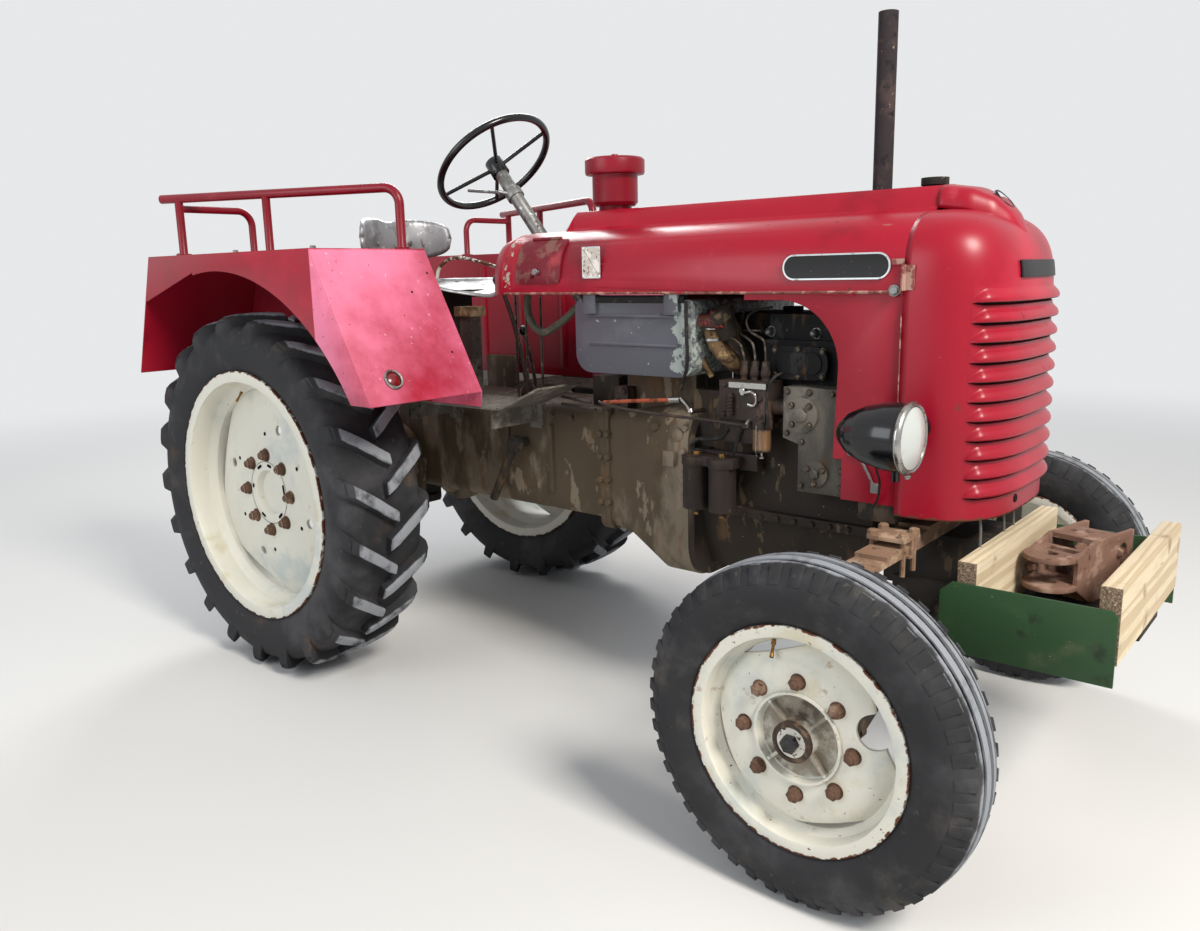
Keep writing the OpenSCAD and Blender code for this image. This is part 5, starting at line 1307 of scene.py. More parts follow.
# %% [markdown]
# Badges, plates and bolt heads are what the eye counts on a machine. A plate is a cube with its
# corners rounded by a bevel, and its border is an inset face that takes the second finish.
# All of them are left blank here. A bolt has to sit on its casting, so a straight line is cast
# at the frame's own solid, and the bolt stands where that line meets it.

# %% Plates and bolts
SURFACES = {}


def met(node, spot, towards):
    """Where a line from spot, along towards, meets a node of the frame."""
    if node not in SURFACES:
        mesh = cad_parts[node].data
        corners = [v.co for v in mesh.vertices]
        SURFACES[node] = BVHTree.FromPolygons(corners, [p.vertices for p in mesh.polygons])
    place = SURFACES[node].ray_cast(Vector(spot), Vector(towards))[0]
    if place is None:
        print("nothing of", node, "lies ahead of", [round(c, 3) for c in spot])
        return Vector(spot)
    return place


def on_side(node, x, z, side=-1):
    """A point on a node's flank, seen square from the side; side is -1 on the right."""
    return met(node, at(x, side * 1000, z), (0, -side, 0))


def plate_part(wide, high, thick, corner, border=0.0, sunk=0.4):
    """A flat plate with round corners; past its border, if it has one, it takes the second finish."""
    part = bmesh.new()
    bmesh.ops.create_cube(part, size=1.0)
    bmesh.ops.scale(part, vec=(wide * MM, high * MM, thick * MM), verts=part.verts)
    bmesh.ops.translate(part, vec=(0, 0, thick * MM / 2), verts=part.verts)
    upright = [e for e in part.edges if abs(e.verts[0].co.z - e.verts[1].co.z) > thick * MM / 2]
    bmesh.ops.bevel(part, geom=upright, offset=corner * MM, segments=8, profile=0.5, affect="EDGES",
                    material=-1)
    if border:
        part.normal_update()
        top = [f for f in part.faces if f.normal.z > 0.9]
        bmesh.ops.inset_region(part, faces=top, thickness=border * MM)
        bmesh.ops.translate(part, vec=(0, 0, -sunk * MM), verts=list({v for f in top for v in f.verts}))
        for face in top:
            face.material_index = 1
    return part


def bolt_set(name, spots, direction, head, finish, body="frame"):
    """A group of bolt heads that all face one way; spots are points in the frame."""
    shape = bmesh.new()
    for k, spot in enumerate(spots):
        add(shape, head, facing(spot, direction, twist=0.9 * k))
    return settle(name, shape, finish, body, sharp=30)


def round_about(x, z, radius, count, start=0.0):
    """(x, z) places evenly round a centre."""
    turns = [start + k * math.tau / count for k in range(count)]
    return [(x + radius * math.cos(a), z + radius * math.sin(a)) for a in turns]


# %% [markdown]
# The blank plates: a long badge on each flank, a worn data plate by the hatch, a nameplate
# across the nose and a round badge on the ridge.

# %% Badges and plates
BONNET_SIDE = 262.4
badge_shape = bmesh.new()
for side in (-1, 1):
    badge = plate_part(248, 55, 3, 27, border=3.5)
    add(badge_shape, badge, facing(at(1696, side * BONNET_SIDE, 1197), (0, side, 0)))
settle("bonnet_badges", badge_shape, [label_pale, label_black], "frame")
data_shape = bmesh.new()
DATA_X, DATA_Z = 1016, 1221
data_part = plate_part(60, 80, 1.5, 2, border=3, sunk=0.2)
add(data_shape, data_part, facing(at(DATA_X, -BONNET_SIDE, DATA_Z), (0, -1, 0)))
pin = turned_part([(0, 2.2), (2.2, 1.8), (3, 0.6), (3, 0)], 12)
for dx, dz in ((-26, 35), (26, 35), (-26, -35), (26, -35)):
    pin_at = at(DATA_X + dx, -BONNET_SIDE - 1.2, DATA_Z + dz)
    add(data_shape, pin, facing(pin_at, (0, -1, 0)), finish=0)
settle("data_plate", data_shape, [label_pale, label_worn], "frame", sharp=2)

NAME_FOOT, NAME_TOP, NAME_SHARE = 1168, 1203, 0.19


def nameplate_rule(u, v):
    return mask_point((NAME_FOOT + (NAME_TOP - NAME_FOOT) * v) * MM, NAME_SHARE * (2 * u - 1), 0.0050)


nameplate = settle("nose_nameplate", bent_sheet(40, 14, nameplate_rule), label_black,
                   "frame", sharp=60)
thicken(nameplate, 0.004)

# The round badge lies on the ridge, where its nose falls away
BADGE_REACH = 0.108
ridge_tops = [(row[0], row[2]) for row in NOSE]
badge_top = spread(ridge_tops, BADGE_REACH)
fall = (badge_top - spread(ridge_tops, BADGE_REACH + 0.012)) / 12
ridge_out = Vector((fall, 0, 1)).normalized()
badge_at = Vector((seam + BADGE_REACH, 0, badge_top * MM)) + ridge_out * 0.001
ridge_badge = bmesh.new()
dished = turned_part([(0, 1.2), (22, 1.2), (23, 2.4), (26, 2.6), (28, 0), (28, -6)], 48)
add(ridge_badge, dished, facing(badge_at, ridge_out))
for face in ridge_badge.faces:
    face.material_index = 1 if (face.calc_center_median() - badge_at).length < 0.0215 else 0
settle("ridge_badge", ridge_badge, [label_black, label_pale], "frame")
print("blank badges and plates are on")

# %% [markdown]
# The bonnet is stiffened by a crease pressed along each flank and by its lower edge, which is
# rolled over a wire. The paint has gone from the roll, so it shows as a thin rusty line.
# Its side hatch is pulled open by a knob, and a strap holds the seam to the mask.

# %% Bonnet trim
bonnet_low, bonnet_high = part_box("bonnet")
CREASE = [(1030, 1160), (1250, 1152), (1500, 1145), (1740, 1137)]
rolled_edge = weathered("rolled edge", seen_as(128, 74, 70), 0.7, [
    Coat(seen_as(168, 132, 118), 0.030, 0.50, 0.06, rough=0.8),
    Coat(RUST, 0.020, 0.56, 0.05, rough=0.9),
    Coat(seen_as(150, 30, 44), 0.060, 0.58, 0.06, rough=0.5),
], grain=0.1)
crease_shape, roll_shape, seam_shape = bmesh.new(), bmesh.new(), bmesh.new()
for side in (-1, 1):
    add(crease_shape, pipe_part([at(x, side * 262.3, z) for x, z in CREASE], 1.3))
    run = np.linspace(bonnet_low.x + 0.004, bonnet_high.x - 0.004, 8)
    rolled = [Vector((x, side * (mask_half - 0.001), bonnet_low.z + 0.003)) for x in run]
    add(roll_shape, pipe_part(rolled, 3.6))
    heights = np.linspace(760, 1100, 10)
    line = [mask_point(z * MM, side * 1.0) + Vector((-0.001, side * 0.0008, 0)) for z in heights]
    add(seam_shape, pipe_part(line, 1.4))
    add(seam_shape, plate_part(18, 50, 4, 3), facing(at(1862, side * 261, 1172), (0, side, 0)))
    add(seam_shape, pipe_part([at(1849, side * 266, 1198), at(1849, side * 266, 1146)], 5.5))
    add(seam_shape, plate_part(26, 12, 3, 2), facing(at(1836, side * 262.4, 1204), (0, side, 0)))
settle("bonnet_creases", crease_shape, enamel, "frame")
settle("bonnet_rolled_edges", roll_shape, rolled_edge, "frame")
settle("seam_hinges", seam_shape, rolled_edge, "frame")
seam_bolt = hex_part(17, 8, washer=12)
for side, word in ((-1, "right"), (1, "left")):
    spots = [at(1829, side * 262.2, 1146)]
    bolt_set("seam_bolt_" + word, spots, (0, side, 0), seam_bolt, column_zinc)
knob_shape = bmesh.new()
knob = turned_part([(0, 0), (5, 0), (4, 6), (8, 9), (9.5, 13), (8, 17), (0, 19)], 24)
add(knob_shape, knob, facing(on_side("bonnet_hatch", 827, 1200), (0, -1, 0)))
settle("hatch_knob", knob_shape, column_zinc, "bonnet_hatch")
print("the bonnet is", round(bonnet_high.x - bonnet_low.x, 3), "m long")

# %% [markdown]
# The engine shows everything it is made of, and a diesel is told by its pump: three unions on
# top, three steel lines that loop over to the head, a glass bowl in its wire bail, and the rods
# that work the governor. Lines are pipes through a few points, taken from the photograph.

# %% Fuel pump and its lines
PUMP_FACE = -252.5
UNION_TOP = 970


def side_run(y, spots):
    """Points on an upright plane along the tractor; spots are (x, z) in millimetres."""
    return [at(x, y, z) for x, z in spots]


line_shape = bmesh.new()
UNIONS = (1444, 1472, 1500)
LINES = [
    [(1444, -208, 978), (1440, -212, 1002), (1434, -214, 1020), (1414, -212, 1033),
     (1385, -200, 1037), (1362, -166, 1062), (1352, -140, 1098)],
    [(1472, -208, 978), (1471, -211, 1004), (1464, -212, 1026), (1444, -208, 1039),
     (1420, -190, 1046), (1404, -160, 1070), (1398, -140, 1100)],
    [(1500, -208, 978), (1501, -213, 1010), (1497, -215, 1032), (1478, -214, 1043),
     (1459, -212, 1053), (1448, -208, 1078), (1456, -186, 1098), (1482, -150, 1106)],
]
for route in LINES:
    add(line_shape, pipe_part([at(*spot) for spot in route], 3.0, bend=10))
LEAK_OFF = [
    (1371, -150, 1053), (1376, -166, 1052), (1416, -168, 1051), (1458, -166, 1051), (1464, -150, 1050),
]
add(line_shape, pipe_part([at(*spot) for spot in LEAK_OFF], 2.5))
settle("injection_lines", line_shape, pipe_steel, "frame")
union = hex_part(17, 13, washer=9)
bolt_set("pump_unions", [at(x, -208, UNION_TOP) for x in UNIONS], (0, 0, 1), union, pipe_steel)

# %% [markdown]
# The pump's own trim: a bright band with a round window, the governor's small lever, a ribbed
# stop spindle and the bolts of its covers.

# %% Pump trim
pump_trim = bmesh.new()
add(pump_trim, plate_part(100, 13, 3, 2), facing(at(1478, PUMP_FACE, 929), (0, -1, 0)))
stub = turned_part([(8, 0), (8, 6), (6, 8), (0, 8)], 24)
add(pump_trim, stub, facing(at(1467, PUMP_FACE - 2, 917), (0, -1, 0)))
lever = side_run(-260, [(1470, 912), (1496, 914), (1505, 899), (1500, 885), (1484, 886)])
add(pump_trim, pipe_part(lever, 3.4))
add(pump_trim, pipe_part([at(1470, -250, 912), at(1470, -264, 912)], 5.5))
settle("pump_band", pump_trim, chrome, "frame")
ribbed = [(0, 0), (8, 0)]
for k in range(6):
    ribbed += [(8, 4 + 8 * k), (10.5, 5 + 8 * k), (10.5, 8 + 8 * k), (8, 9 + 8 * k)]
ribbed += [(8, 54), (5, 56), (0, 56)]
ribbed_shape = bmesh.new()
add(ribbed_shape, turned_part(ribbed, 28), facing(at(1432, PUMP_FACE - 5, 855), (0, 0, 1)))
for x, z in ((1414, 928), (1414, 858), (1512, 858), (1512, 900)):
    add(ribbed_shape, hex_part(11, 6, washer=7), facing(at(x, PUMP_FACE, z), (0, -1, 0)))
for y, z in ((-210 + 34 * math.cos(a), 866 + 34 * math.sin(a)) for a in (0.4, 1.7, 3.0, 4.2, 5.4)):
    add(ribbed_shape, hex_part(10, 5), facing(at(1394, y, z), (-1, 0, 0)))
settle("pump_fittings", ribbed_shape, pump_iron, "frame")

# %% [markdown]
# The sediment bowl is glass, so that water in the fuel can be seen. A wire bail pulls it up
# against its seat, and a thumb nut under the bail holds it.

# %% Sediment bowl
BOWL_X, BOWL_Y = 1504, -228
bowl_shape = bmesh.new()
bowl = [(0, 0), (15, 0), (21, 4), (22.2, 12), (22.2, 50), (23.5, 53), (23.5, 56)]
add(bowl_shape, turned_part(bowl, 48), Matrix.Translation(at(BOWL_X, BOWL_Y, 770)))
settle("sediment_bowl", bowl_shape, bowl_glass, "frame", sharp=60)
bail = bmesh.new()
HOOP = [(27, 838), (27, 800), (25, 768), (9, 759)]
hoop = [at(BOWL_X, BOWL_Y - reach, z) for reach, z in HOOP]
hoop += [at(BOWL_X, BOWL_Y + reach, z) for reach, z in reversed(HOOP)]
add(bail, pipe_part(hoop, 1.6))
thumb_nut = turned_part([(0, 0), (7, 0), (7, 5), (3, 6), (3, 16), (0, 16)], 20)
add(bail, thumb_nut, Matrix.Translation(at(BOWL_X, BOWL_Y, 755)))
settle("bowl_bail", bail, chrome, "frame")

# %% [markdown]
# Fuel comes from the tank through the filters to the pump in four soft pipes. One table holds
# their routes, and a loop makes them.

# %% Fuel pipes
# columns: radius of the pipe, the points that it runs through
FEEDS = [
    (4, [(1546, -214, 958), (1537, -236, 948), (1526, -246, 914), (1528, -250, 882), (1532, -250, 842),
         (1526, -246, 832)]),
    (4, [(1478, -228, 838), (1462, -246, 826), (1450, -250, 800), (1440, -246, 770), (1424, -238, 752)]),
    (5, [(1322, -234, 745), (1310, -240, 766), (1330, -240, 786), (1366, -240, 790), (1404, -240, 800),
         (1420, -246, 822)]),
    (4.5, [(1306, -256, 1125), (1306, -254, 1060), (1304, -250, 961), (1285, -236, 931), (1268, -222, 905)]),
]
feed = bmesh.new()
for radius, route in FEEDS:
    add(feed, pipe_part([at(*spot) for spot in route], radius))
settle("fuel_pipes", feed, hose_rubber_and_painted_shade, "frame")
print("fuel system:", len(LINES), "lines and a bowl")

# %% [markdown]
# Covers and flanges are held by rows of bolts. Their places come from the frame's solids, and
# each row is one piece.

# %% Engine bolts and covers
small_bolt, mid_bolt = hex_part(12, 7, washer=8), hex_part(17, 9, washer=11)
CASE_BOLTS = round_about(1612, 868, 31, 4, 0.8) + round_about(1650, 736, 22, 3, 0.5)
CASE_BOLTS += [(1713, z) for z in range(712, 912, 38)]
CASE_BOLTS += [(1574, 920), (1630, 920), (1686, 920), (1574, 824), (1612, 806), (1612, 704)]
rows = [on_side("timing_case", x, z) for x, z in CASE_BOLTS]
bolt_set("timing_bolts", rows, (0, -1, 0), small_bolt, pipe_steel)
plug_shape = bmesh.new()
big_plug = turned_part([(16, 0), (16, 5), (12, 8), (0, 9)], 32)
add(plug_shape, big_plug, facing(on_side("timing_case", 1612, 868), (0, -1, 0)))
add(plug_shape, hex_part(19, 8), facing(on_side("timing_case", 1650, 736), (0, -1, 0)))
settle("timing_plugs", plug_shape, case_alloy, "frame")

# %% [markdown]
# Over the pump lies the pill-shaped tappet cover with its six bolts, and domed nuts hold the head.

# %% Tappet cover and head nuts
COVER_FACE = -176
cover_shape = bmesh.new()
add(cover_shape, plate_part(146, 78, 12, 34), facing(at(1569, COVER_FACE + 11, 979), (0, -1, 0)))
add(cover_shape, plate_part(118, 50, 5, 24), facing(at(1569, COVER_FACE, 979), (0, -1, 0)))
settle("tappet_cover", cover_shape, head_iron, "frame")
PILL = [(1508, 1008), (1569, 1011), (1630, 1008), (1508, 950), (1569, 947), (1630, 950)]
pill_bolts = [at(x, COVER_FACE - 0.5, z) for x, z in PILL]
bolt_set("tappet_cover_bolts", pill_bolts, (0, -1, 0), small_bolt, pipe_steel)
acorn_shape = bmesh.new()
acorn = turned_part([(9.5, 0), (9.5, 8), (8, 14), (5, 18), (0, 20)], 24)
for x, z in ((1464, 1047), (1584, 1045), (1700, 1040)):
    spot = on_side("cylinder_head", x, z)
    add(acorn_shape, hex_part(21, 7, washer=13), facing(spot, (0, -1, 0)))
    add(acorn_shape, acorn, facing(spot + Vector((0, -0.006, 0)), (0, -1, 0)))
settle("head_acorn_nuts", acorn_shape, column_zinc, "frame")

# %% [markdown]
# Rows of bolts run along the sump and round the flanges of the clutch housing and the gearbox.

# %% Bolts of the castings
sump_bolts = [on_side("engine_block", x, 596 + (x - 1290) * 0.02) for x in range(1296, 1756, 46)]
bolt_set("sump_bolts", sump_bolts, (0, -1, 0), small_bolt, engine_iron)
left_bolts = [on_side("engine_block", x, 596, 1) for x in range(1296, 1756, 46)]
bolt_set("sump_bolts_left", left_bolts, (0, 1, 0), small_bolt, engine_iron)
for side, word in ((-1, "right"), (1, "left")):
    # On the left the swinging pitman arm leaves no room for bolts near it
    clear = side < 0
    bell = [on_side("clutch_housing", 1256, z, side) for z in (620, 680, 740, 800)]
    bell += [on_side("clutch_housing", 975, z, side) for z in (560, 625, 690, 755, 815) if clear]
    bolt_set("clutch_bolts_" + word, bell, (0, side, 0), mid_bolt, gear_iron)
    box = [on_side("gearbox_housing", 950, z, side) for z in (560, 625, 690, 755) if clear]
    box += [on_side("gearbox_housing", x, 786, side) for x in range(300, 900 if clear else 780, 75)]
    bolt_set("gearbox_bolts_" + word, box, (0, side, 0), mid_bolt, gear_iron)
plugs = bmesh.new()
flat_plug = turned_part([(17, 0), (17, 4), (12, 7), (0, 7)], 32)
add(plugs, flat_plug, facing(on_side("clutch_housing", 1236, 782), (0, -1, 0)))
add(plugs, hex_part(24, 12, washer=16), facing(on_side("clutch_housing", 1161, 797), (0, -1, 0)))
settle("clutch_plugs", plugs, gear_iron, "frame")
filter_bolts = [at(x, -234, 745) for x in (1322, 1398)]
bolt_set("filter_bolts", filter_bolts, (0, 0, 1), hex_part(19, 11, washer=13), brass)
drain_bolts = [at(x, -234, 600) for x in (1322, 1398)]
bolt_set("filter_drains", drain_bolts, (0, 0, -1), hex_part(13, 7), brass)
print("bolts on the engine:", len(rows) + len(pill_bolts) + len(sump_bolts) + len(left_bolts))

# %% [markdown]
# Above the pump stands the oil filler: a rusty eight-sided cap on a bent ochre neck, with the
# breather's elbow beside it. Below runs the linkage: thin rods from the pedals to the pump.

# %% Oil filler, breather and rods
ochre = weathered("ochre neck", seen_as(112, 88, 60), 0.7, [
    Coat(seen_as(66, 48, 36), 0.03, 0.50, 0.08, rough=0.8),
    Coat(seen_as(150, 124, 88), 0.02, 0.60, 0.06, rough=0.8),
], grain=0.15)
cap_red = weathered("cap red", seen_as(96, 52, 44), 0.6, [
    Coat(seen_as(58, 36, 32), 0.03, 0.50, 0.08, rough=0.7),
    Coat(seen_as(168, 40, 44), 0.02, 0.60, 0.04, rough=0.5),
], grain=0.15)
rod_orange = weathered("rod orange", seen_as(158, 78, 52), 0.6, [
    Coat(seen_as(104, 58, 40), 0.03, 0.50, 0.06, rough=0.8),
    Coat(seen_as(70, 48, 38), 0.015, 0.60, 0.05, rough=0.9),
], grain=0.1)
filler = bmesh.new()
add(filler, turned_part([(0, 0), (40, 0), (45, 4), (45, 18), (40, 24), (24, 27), (0, 27)], 8),
    facing(at(1356, -206, 1064), (0.10, -0.12, 1), twist=0.3))
cap_top = turned_part([(0, 0), (12, 0), (12, 8), (0, 9)], 20)
add(filler, cap_top, facing(at(1359, -209, 1091), (0.10, -0.12, 1)))
settle("oil_filler_cap", filler, cap_red, "frame", sharp=30)
neck = bmesh.new()
NECK = [(1355, -206, 1066), (1352, -206, 1040), (1366, -200, 1008), (1392, -186, 978), (1402, -160, 962)]
ELBOW = [(1310, -190, 1052), (1299, -204, 1046), (1302, -206, 1020), (1320, -204, 978), (1336, -186, 938)]
add(neck, pipe_part([at(*spot) for spot in NECK], 21, sides=6))
add(neck, pipe_part([at(*spot) for spot in ELBOW], 8, sides=4))
settle("filler_neck", neck, ochre, "frame")
collars = bmesh.new()
for height in (1058, 1030):
    collar = turned_part([(21, -3), (24, -3), (24, 3), (21, 3)], 32)
    add(collars, collar, Matrix.Translation(at(1353, -206, height)))
settle("filler_collars", collars, chrome, "frame")

rods = bmesh.new()
CONTROL = [
    (1010, -236, 857), (1047, -258, 855), (1243, -262, 843), (1351, -262, 841), (1427, -262, 838),
    (1480, -262, 835),
]
add(rods, pipe_part([at(*spot) for spot in CONTROL], 4))
add(rods, pipe_part([at(856, -214, 859), at(972, -225, 850)], 4.5))
add(rods, pipe_part([at(856, -214, 838), at(990, -225, 833)], 4.5))
block = facing(on_side("clutch_housing", 1001, 858), (0, -1, 0))
add(rods, plate_part(47, 56, 40, 6), block)
add(rods, hex_part(15, 7, washer=10), block @ Matrix.Translation((0.012, 0.016, 0.040)))
add(rods, hex_part(15, 7, washer=10), block @ Matrix.Translation((-0.012, -0.014, 0.040)))
add(rods, pipe_part([at(1450, -250, 836), at(1480, -268, 835)], 6))
settle("control_rods", rods, pump_iron, "frame")
throttle = bmesh.new()
add(throttle, pipe_part([at(1018, -226, 855), at(1153, -228, 869), at(1236, -228, 876)], 5))
settle("throttle_rod", throttle, rod_orange, "frame")
joints = bmesh.new()
add(joints, pipe_part([at(1236, -228, 876), at(1268, -228, 879)], 7.5))
BALL_AT = at(1296, -222, 851)
add(joints, turned_part([(0, -9), (6, -7), (9, 0), (6, 7), (0, 9)], 20), Matrix.Translation(BALL_AT))
add(joints, pipe_part([BALL_AT, at(1284, -226, 868), at(1268, -228, 884)], 4))
add(joints, pipe_part([BALL_AT, at(1300, -166, 848)], 6))
add(joints, pipe_part([at(1480, -262, 835), at(1480, -246, 848)], 6.5))
settle("rod_joints", joints, chrome, "frame")
print("rods and filler are on")

# %% [markdown]
# Some small pieces are easiest to place from the photograph itself. A pixel and the camera give
# a line of sight, and the piece sits where that line meets the frame's solid, so it lies on
# what carries it from every side.

# %% Lines of sight
def sight(u, v):
    """The direction from the camera through a pixel of the photograph."""
    reach = FOCAL_SHARE * PHOTO_SIZE.x
    return (ahead * reach + right * (u - PHOTO_SIZE.x / 2) + up * (PHOTO_SIZE.y / 2 - v)).normalized()


def seen_on(node, u, v):
    """The point of a node that the photograph shows at pixel (u, v)."""
    return met(node, CAMERA_AT, sight(u, v))


def seen_at(u, v, y):
    """The point at pixel (u, v) on an upright plane y millimetres to the left."""
    line = sight(u, v)
    return CAMERA_AT + line * ((y * MM - CAMERA_AT.y) / line.y)


print("the photograph's middle looks along", [round(c, 2) for c in sight(600, 465)])

# %% [markdown]
# A wheel's hub tells its age. The front cap has a dark ring, a flaked white disc and a black
# hexagon. The rear one is sunk, with slots round it where the disc was cut for the axle flange,
# and six small holes further out; slots and holes are drawn as dark shapes of painted shade.

# %% Hubs
FRONT_HUB_OUT = 64
oily = weathered("oily iron", seen_as(58, 46, 40), 0.45, [
    Coat(seen_as(96, 78, 60), 0.02, 0.52, 0.08, rough=0.7),
    Coat(seen_as(150, 142, 128), 0.010, 0.66, 0.04, rough=0.8),
], grain=0.15)
flaked_white = weathered("flaked white", seen_as(204, 200, 190), 0.6, [
    Coat(seen_as(70, 56, 46), 0.010, 0.56, 0.04, rough=0.8, depth=-0.1),
], grain=0.1)


def front_cap(word, side):
    hub = wheel_centre("front", side)
    lie = facing(hub + Vector((0, side * FRONT_HUB_OUT * MM, 0)), (0, side, 0))
    shape = bmesh.new()
    dark_ring = turned_part([(39.6, -9), (39.6, 0), (37.5, 3), (31, 3), (30, 0.5), (28, 0.4)], 64)
    add(shape, dark_ring, lie, finish=0)
    add(shape, turned_part([(29, 0.6), (16, 0.9), (0, 0.9)], 64), lie, finish=1)
    hexagon = hex_part(31, 17.5)
    add(hexagon, turned_part([(0, 20), (7, 19.5), (10, 17)], 20))
    add(shape, hexagon, lying(hub + Vector((0, side * (FRONT_HUB_OUT - 1) * MM, 0)), side, 0), finish=2)
    ring = turned_part([(91, 0), (93.5, 1.2), (96, 0)], 96)
    add(shape, ring, facing(hub + Vector((0, side * 0.0372, 0)), (0, side, 0)), finish=0)
    return settle("front_cap_" + word, shape, [oily, flaked_white, lamp_black],
                  "front_wheel_" + word, sharp=32)


def rear_hub_seam_and_hole_shade(word, side):
    """The seam round the axle flange as a dark seam line, and its slots and six holes as thin dark shapes of
    painted shade.
    """
    node = "rear_rim_" + word
    hub = wheel_centre("rear", side)
    shape = bmesh.new()

    def mark(radius, degrees, part):
        turn = math.radians(degrees)
        c, s = math.cos(turn), math.sin(turn)
        spot = hub + Vector((c, 0, s)) * radius * MM
        place = met(node, spot + Vector((0, side * 0.4, 0)), (0, -side, 0))
        lie = Matrix(((c, -s * side, 0), (0, 0, side), (s, c * side, 0)))
        add(shape, part, Matrix.Translation(place + Vector((0, side * 0.0003, 0))) @ lie.to_4x4())

    # Holes and slots are painted shade: dark shapes laid on the disc, where nothing is cut.
    hole = turned_part([(0, 0.5), (5.5, 0.5), (6.5, 0)], 20)
    for k in range(6):
        mark(183, 30 + 60 * k, hole)
    # columns: degrees round the hub, width along the ring in millimetres
    for degrees, long in ((118, 26), (80, 22), (8, 44), (-50, 26), (-118, 22), (172, 14)):
        mark(86, degrees, plate_part(9, long, 0.8, 4))
    seam_ring = turned_part([(96.4, 0.6), (97.2, 0.9), (98.0, 0.6)], 96)
    face = met(node, hub + Vector((0.0972, side * 0.4, 0)), (0, -side, 0))
    add(shape, seam_ring, facing(Vector((hub.x, face.y, hub.z)), (0, side, 0)))
    return settle("rear_hub_seam_and_hole_shade_" + word, shape, gap_shade_and_seam_black, "rear_wheel_" + word, sharp=60)


def valve(kind, word, side, radius, out):
    """One tyre valve, which leans outwards; radius and out are millimetres from the wheel's middle."""
    hub = wheel_centre(kind, side)
    turn = math.radians(108)
    spoke = Vector((math.cos(turn), 0, math.sin(turn)))
    foot = hub + spoke * radius * MM + Vector((0, side * out * MM, 0))
    shape = bmesh.new()
    stem = turned_part([(0, 0), (4.5, 0), (4.5, 10), (3, 11), (3, 26), (4, 27), (4, 36), (0, 37)], 16)
    add(shape, stem, facing(foot, -spoke + Vector((0, side * 0.9, 0))))
    return settle(f"{kind}_valve_{word}", shape, brass, f"{kind}_wheel_{word}")


for side, word in ((1, "left"), (-1, "right")):
    front_cap(word, side)
    rear_hub_seam_and_hole_shade(word, side)
    valve("front", word, side, 186, 30)
    valve("rear", word, side, 322, 60)
print("hubs are finished")

# %% [markdown]
# Behind each lamp a round red foot is bolted to the mask, and its wire runs down to the side
# panel. Three thin pale rods hang below the mask, and a bent one lies on the panel.

# %% Lamp feet, wires and hanging rods
WIRE = [(1850, 372, 800), (1838, 330, 772), (1822, 282, 742), (1812, 266, 706), (1800, 262, 684)]
lamp_foot = turned_part([(36, -5), (36, 4), (33, 7), (29, 5), (12, 6), (0, 6)], 48)
foot_shape, wire_shape = bmesh.new(), bmesh.new()
for side in (-1, 1):
    foot = seen_on("grille_mask", 911, 419)
    foot.y = -side * foot.y
    add(foot_shape, lamp_foot, facing(foot, (0.3, side, 0)))
    add(foot_shape, hex_part(17, 9, stud=6), facing(foot + Vector((0, side * 0.006, 0)), (0.3, side, 0)))
    add(wire_shape, pipe_part([at(x, side * y, z) for x, y, z in WIRE], 2.6))
settle("lamp_feet", foot_shape, enamel, "frame")
settle("lamp_wires", wire_shape, hose_rubber_and_painted_shade, "frame")
thin_shape = bmesh.new()
HANGING = [((-182, 701), (-165, 604)), ((-27, 700), (-7, 566)), ((39, 700), (61, 570))]
LOW_ROD = [(1736, 258.5, 795), (1762, 259.5, 788), (1782, 259.5, 762), (1796, 259.5, 734)]
for (y0, z0), (y1, z1) in HANGING:
    bow = at(2000, (y0 + y1) / 2 + 3, (z0 + z1) / 2)
    add(thin_shape, pipe_part([at(1996, y0, z0), bow, at(2000, y1, z1)], 3))
for side in (-1, 1):
    add(thin_shape, pipe_part([at(x, side * y, z) for x, y, z in LOW_ROD], 3.2))
    add(thin_shape, plate_part(16, 22, 5, 3), facing(at(1800, side * 256.2, 726), (0, side, 0)))
settle("thin_rods", thin_shape, column_zinc, "frame")

# %% [markdown]
# The axle's spring is tied by U-bolts over clamp plates, and the jaw's cheeks are bolted to the
# bolster.

# %% Front axle bolts
clamp_shape = bmesh.new()
for y in (-318, -262, 262, 318):
    for x in (1826, 1894):
        add(clamp_shape, pipe_part([at(x, y, 560), at(x, y, 646)], 6))
        add(clamp_shape, hex_part(19, 11, washer=12), facing(at(x, y, 642), (0, 0, 1)))
for side in (-1, 1):
    add(clamp_shape, plate_part(86, 84, 8, 5), facing(at(1860, side * 290, 634), (0, 0, 1)))
settle("spring_clamps", clamp_shape, spring_rust, "frame")
jaw_low, jaw_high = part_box("towing_jaw")
jaw_bolts = bmesh.new()
for u, v in ((1031, 566), (1062, 571), (1119, 552)):
    spot = seen_on("towing_jaw", u, v)
    add(jaw_bolts, hex_part(19, 10, washer=13), facing(spot, (0, -1, 0)))
settle("jaw_bolts", jaw_bolts, jaw_rust, "frame")
print("front axle bolts are on; the jaw spans", [round(c, 3) for c in jaw_high - jaw_low])

# %% [markdown]
# The footplates are chequer plate: short raised lozenges, turned this way and that, which give a
# wet boot its grip. Each is dropped on the plate by a line cast from above.

# %% Chequer pattern
STUD_PITCH = 25
STUD_ROWS = 8
INNER_ROW = 0.175


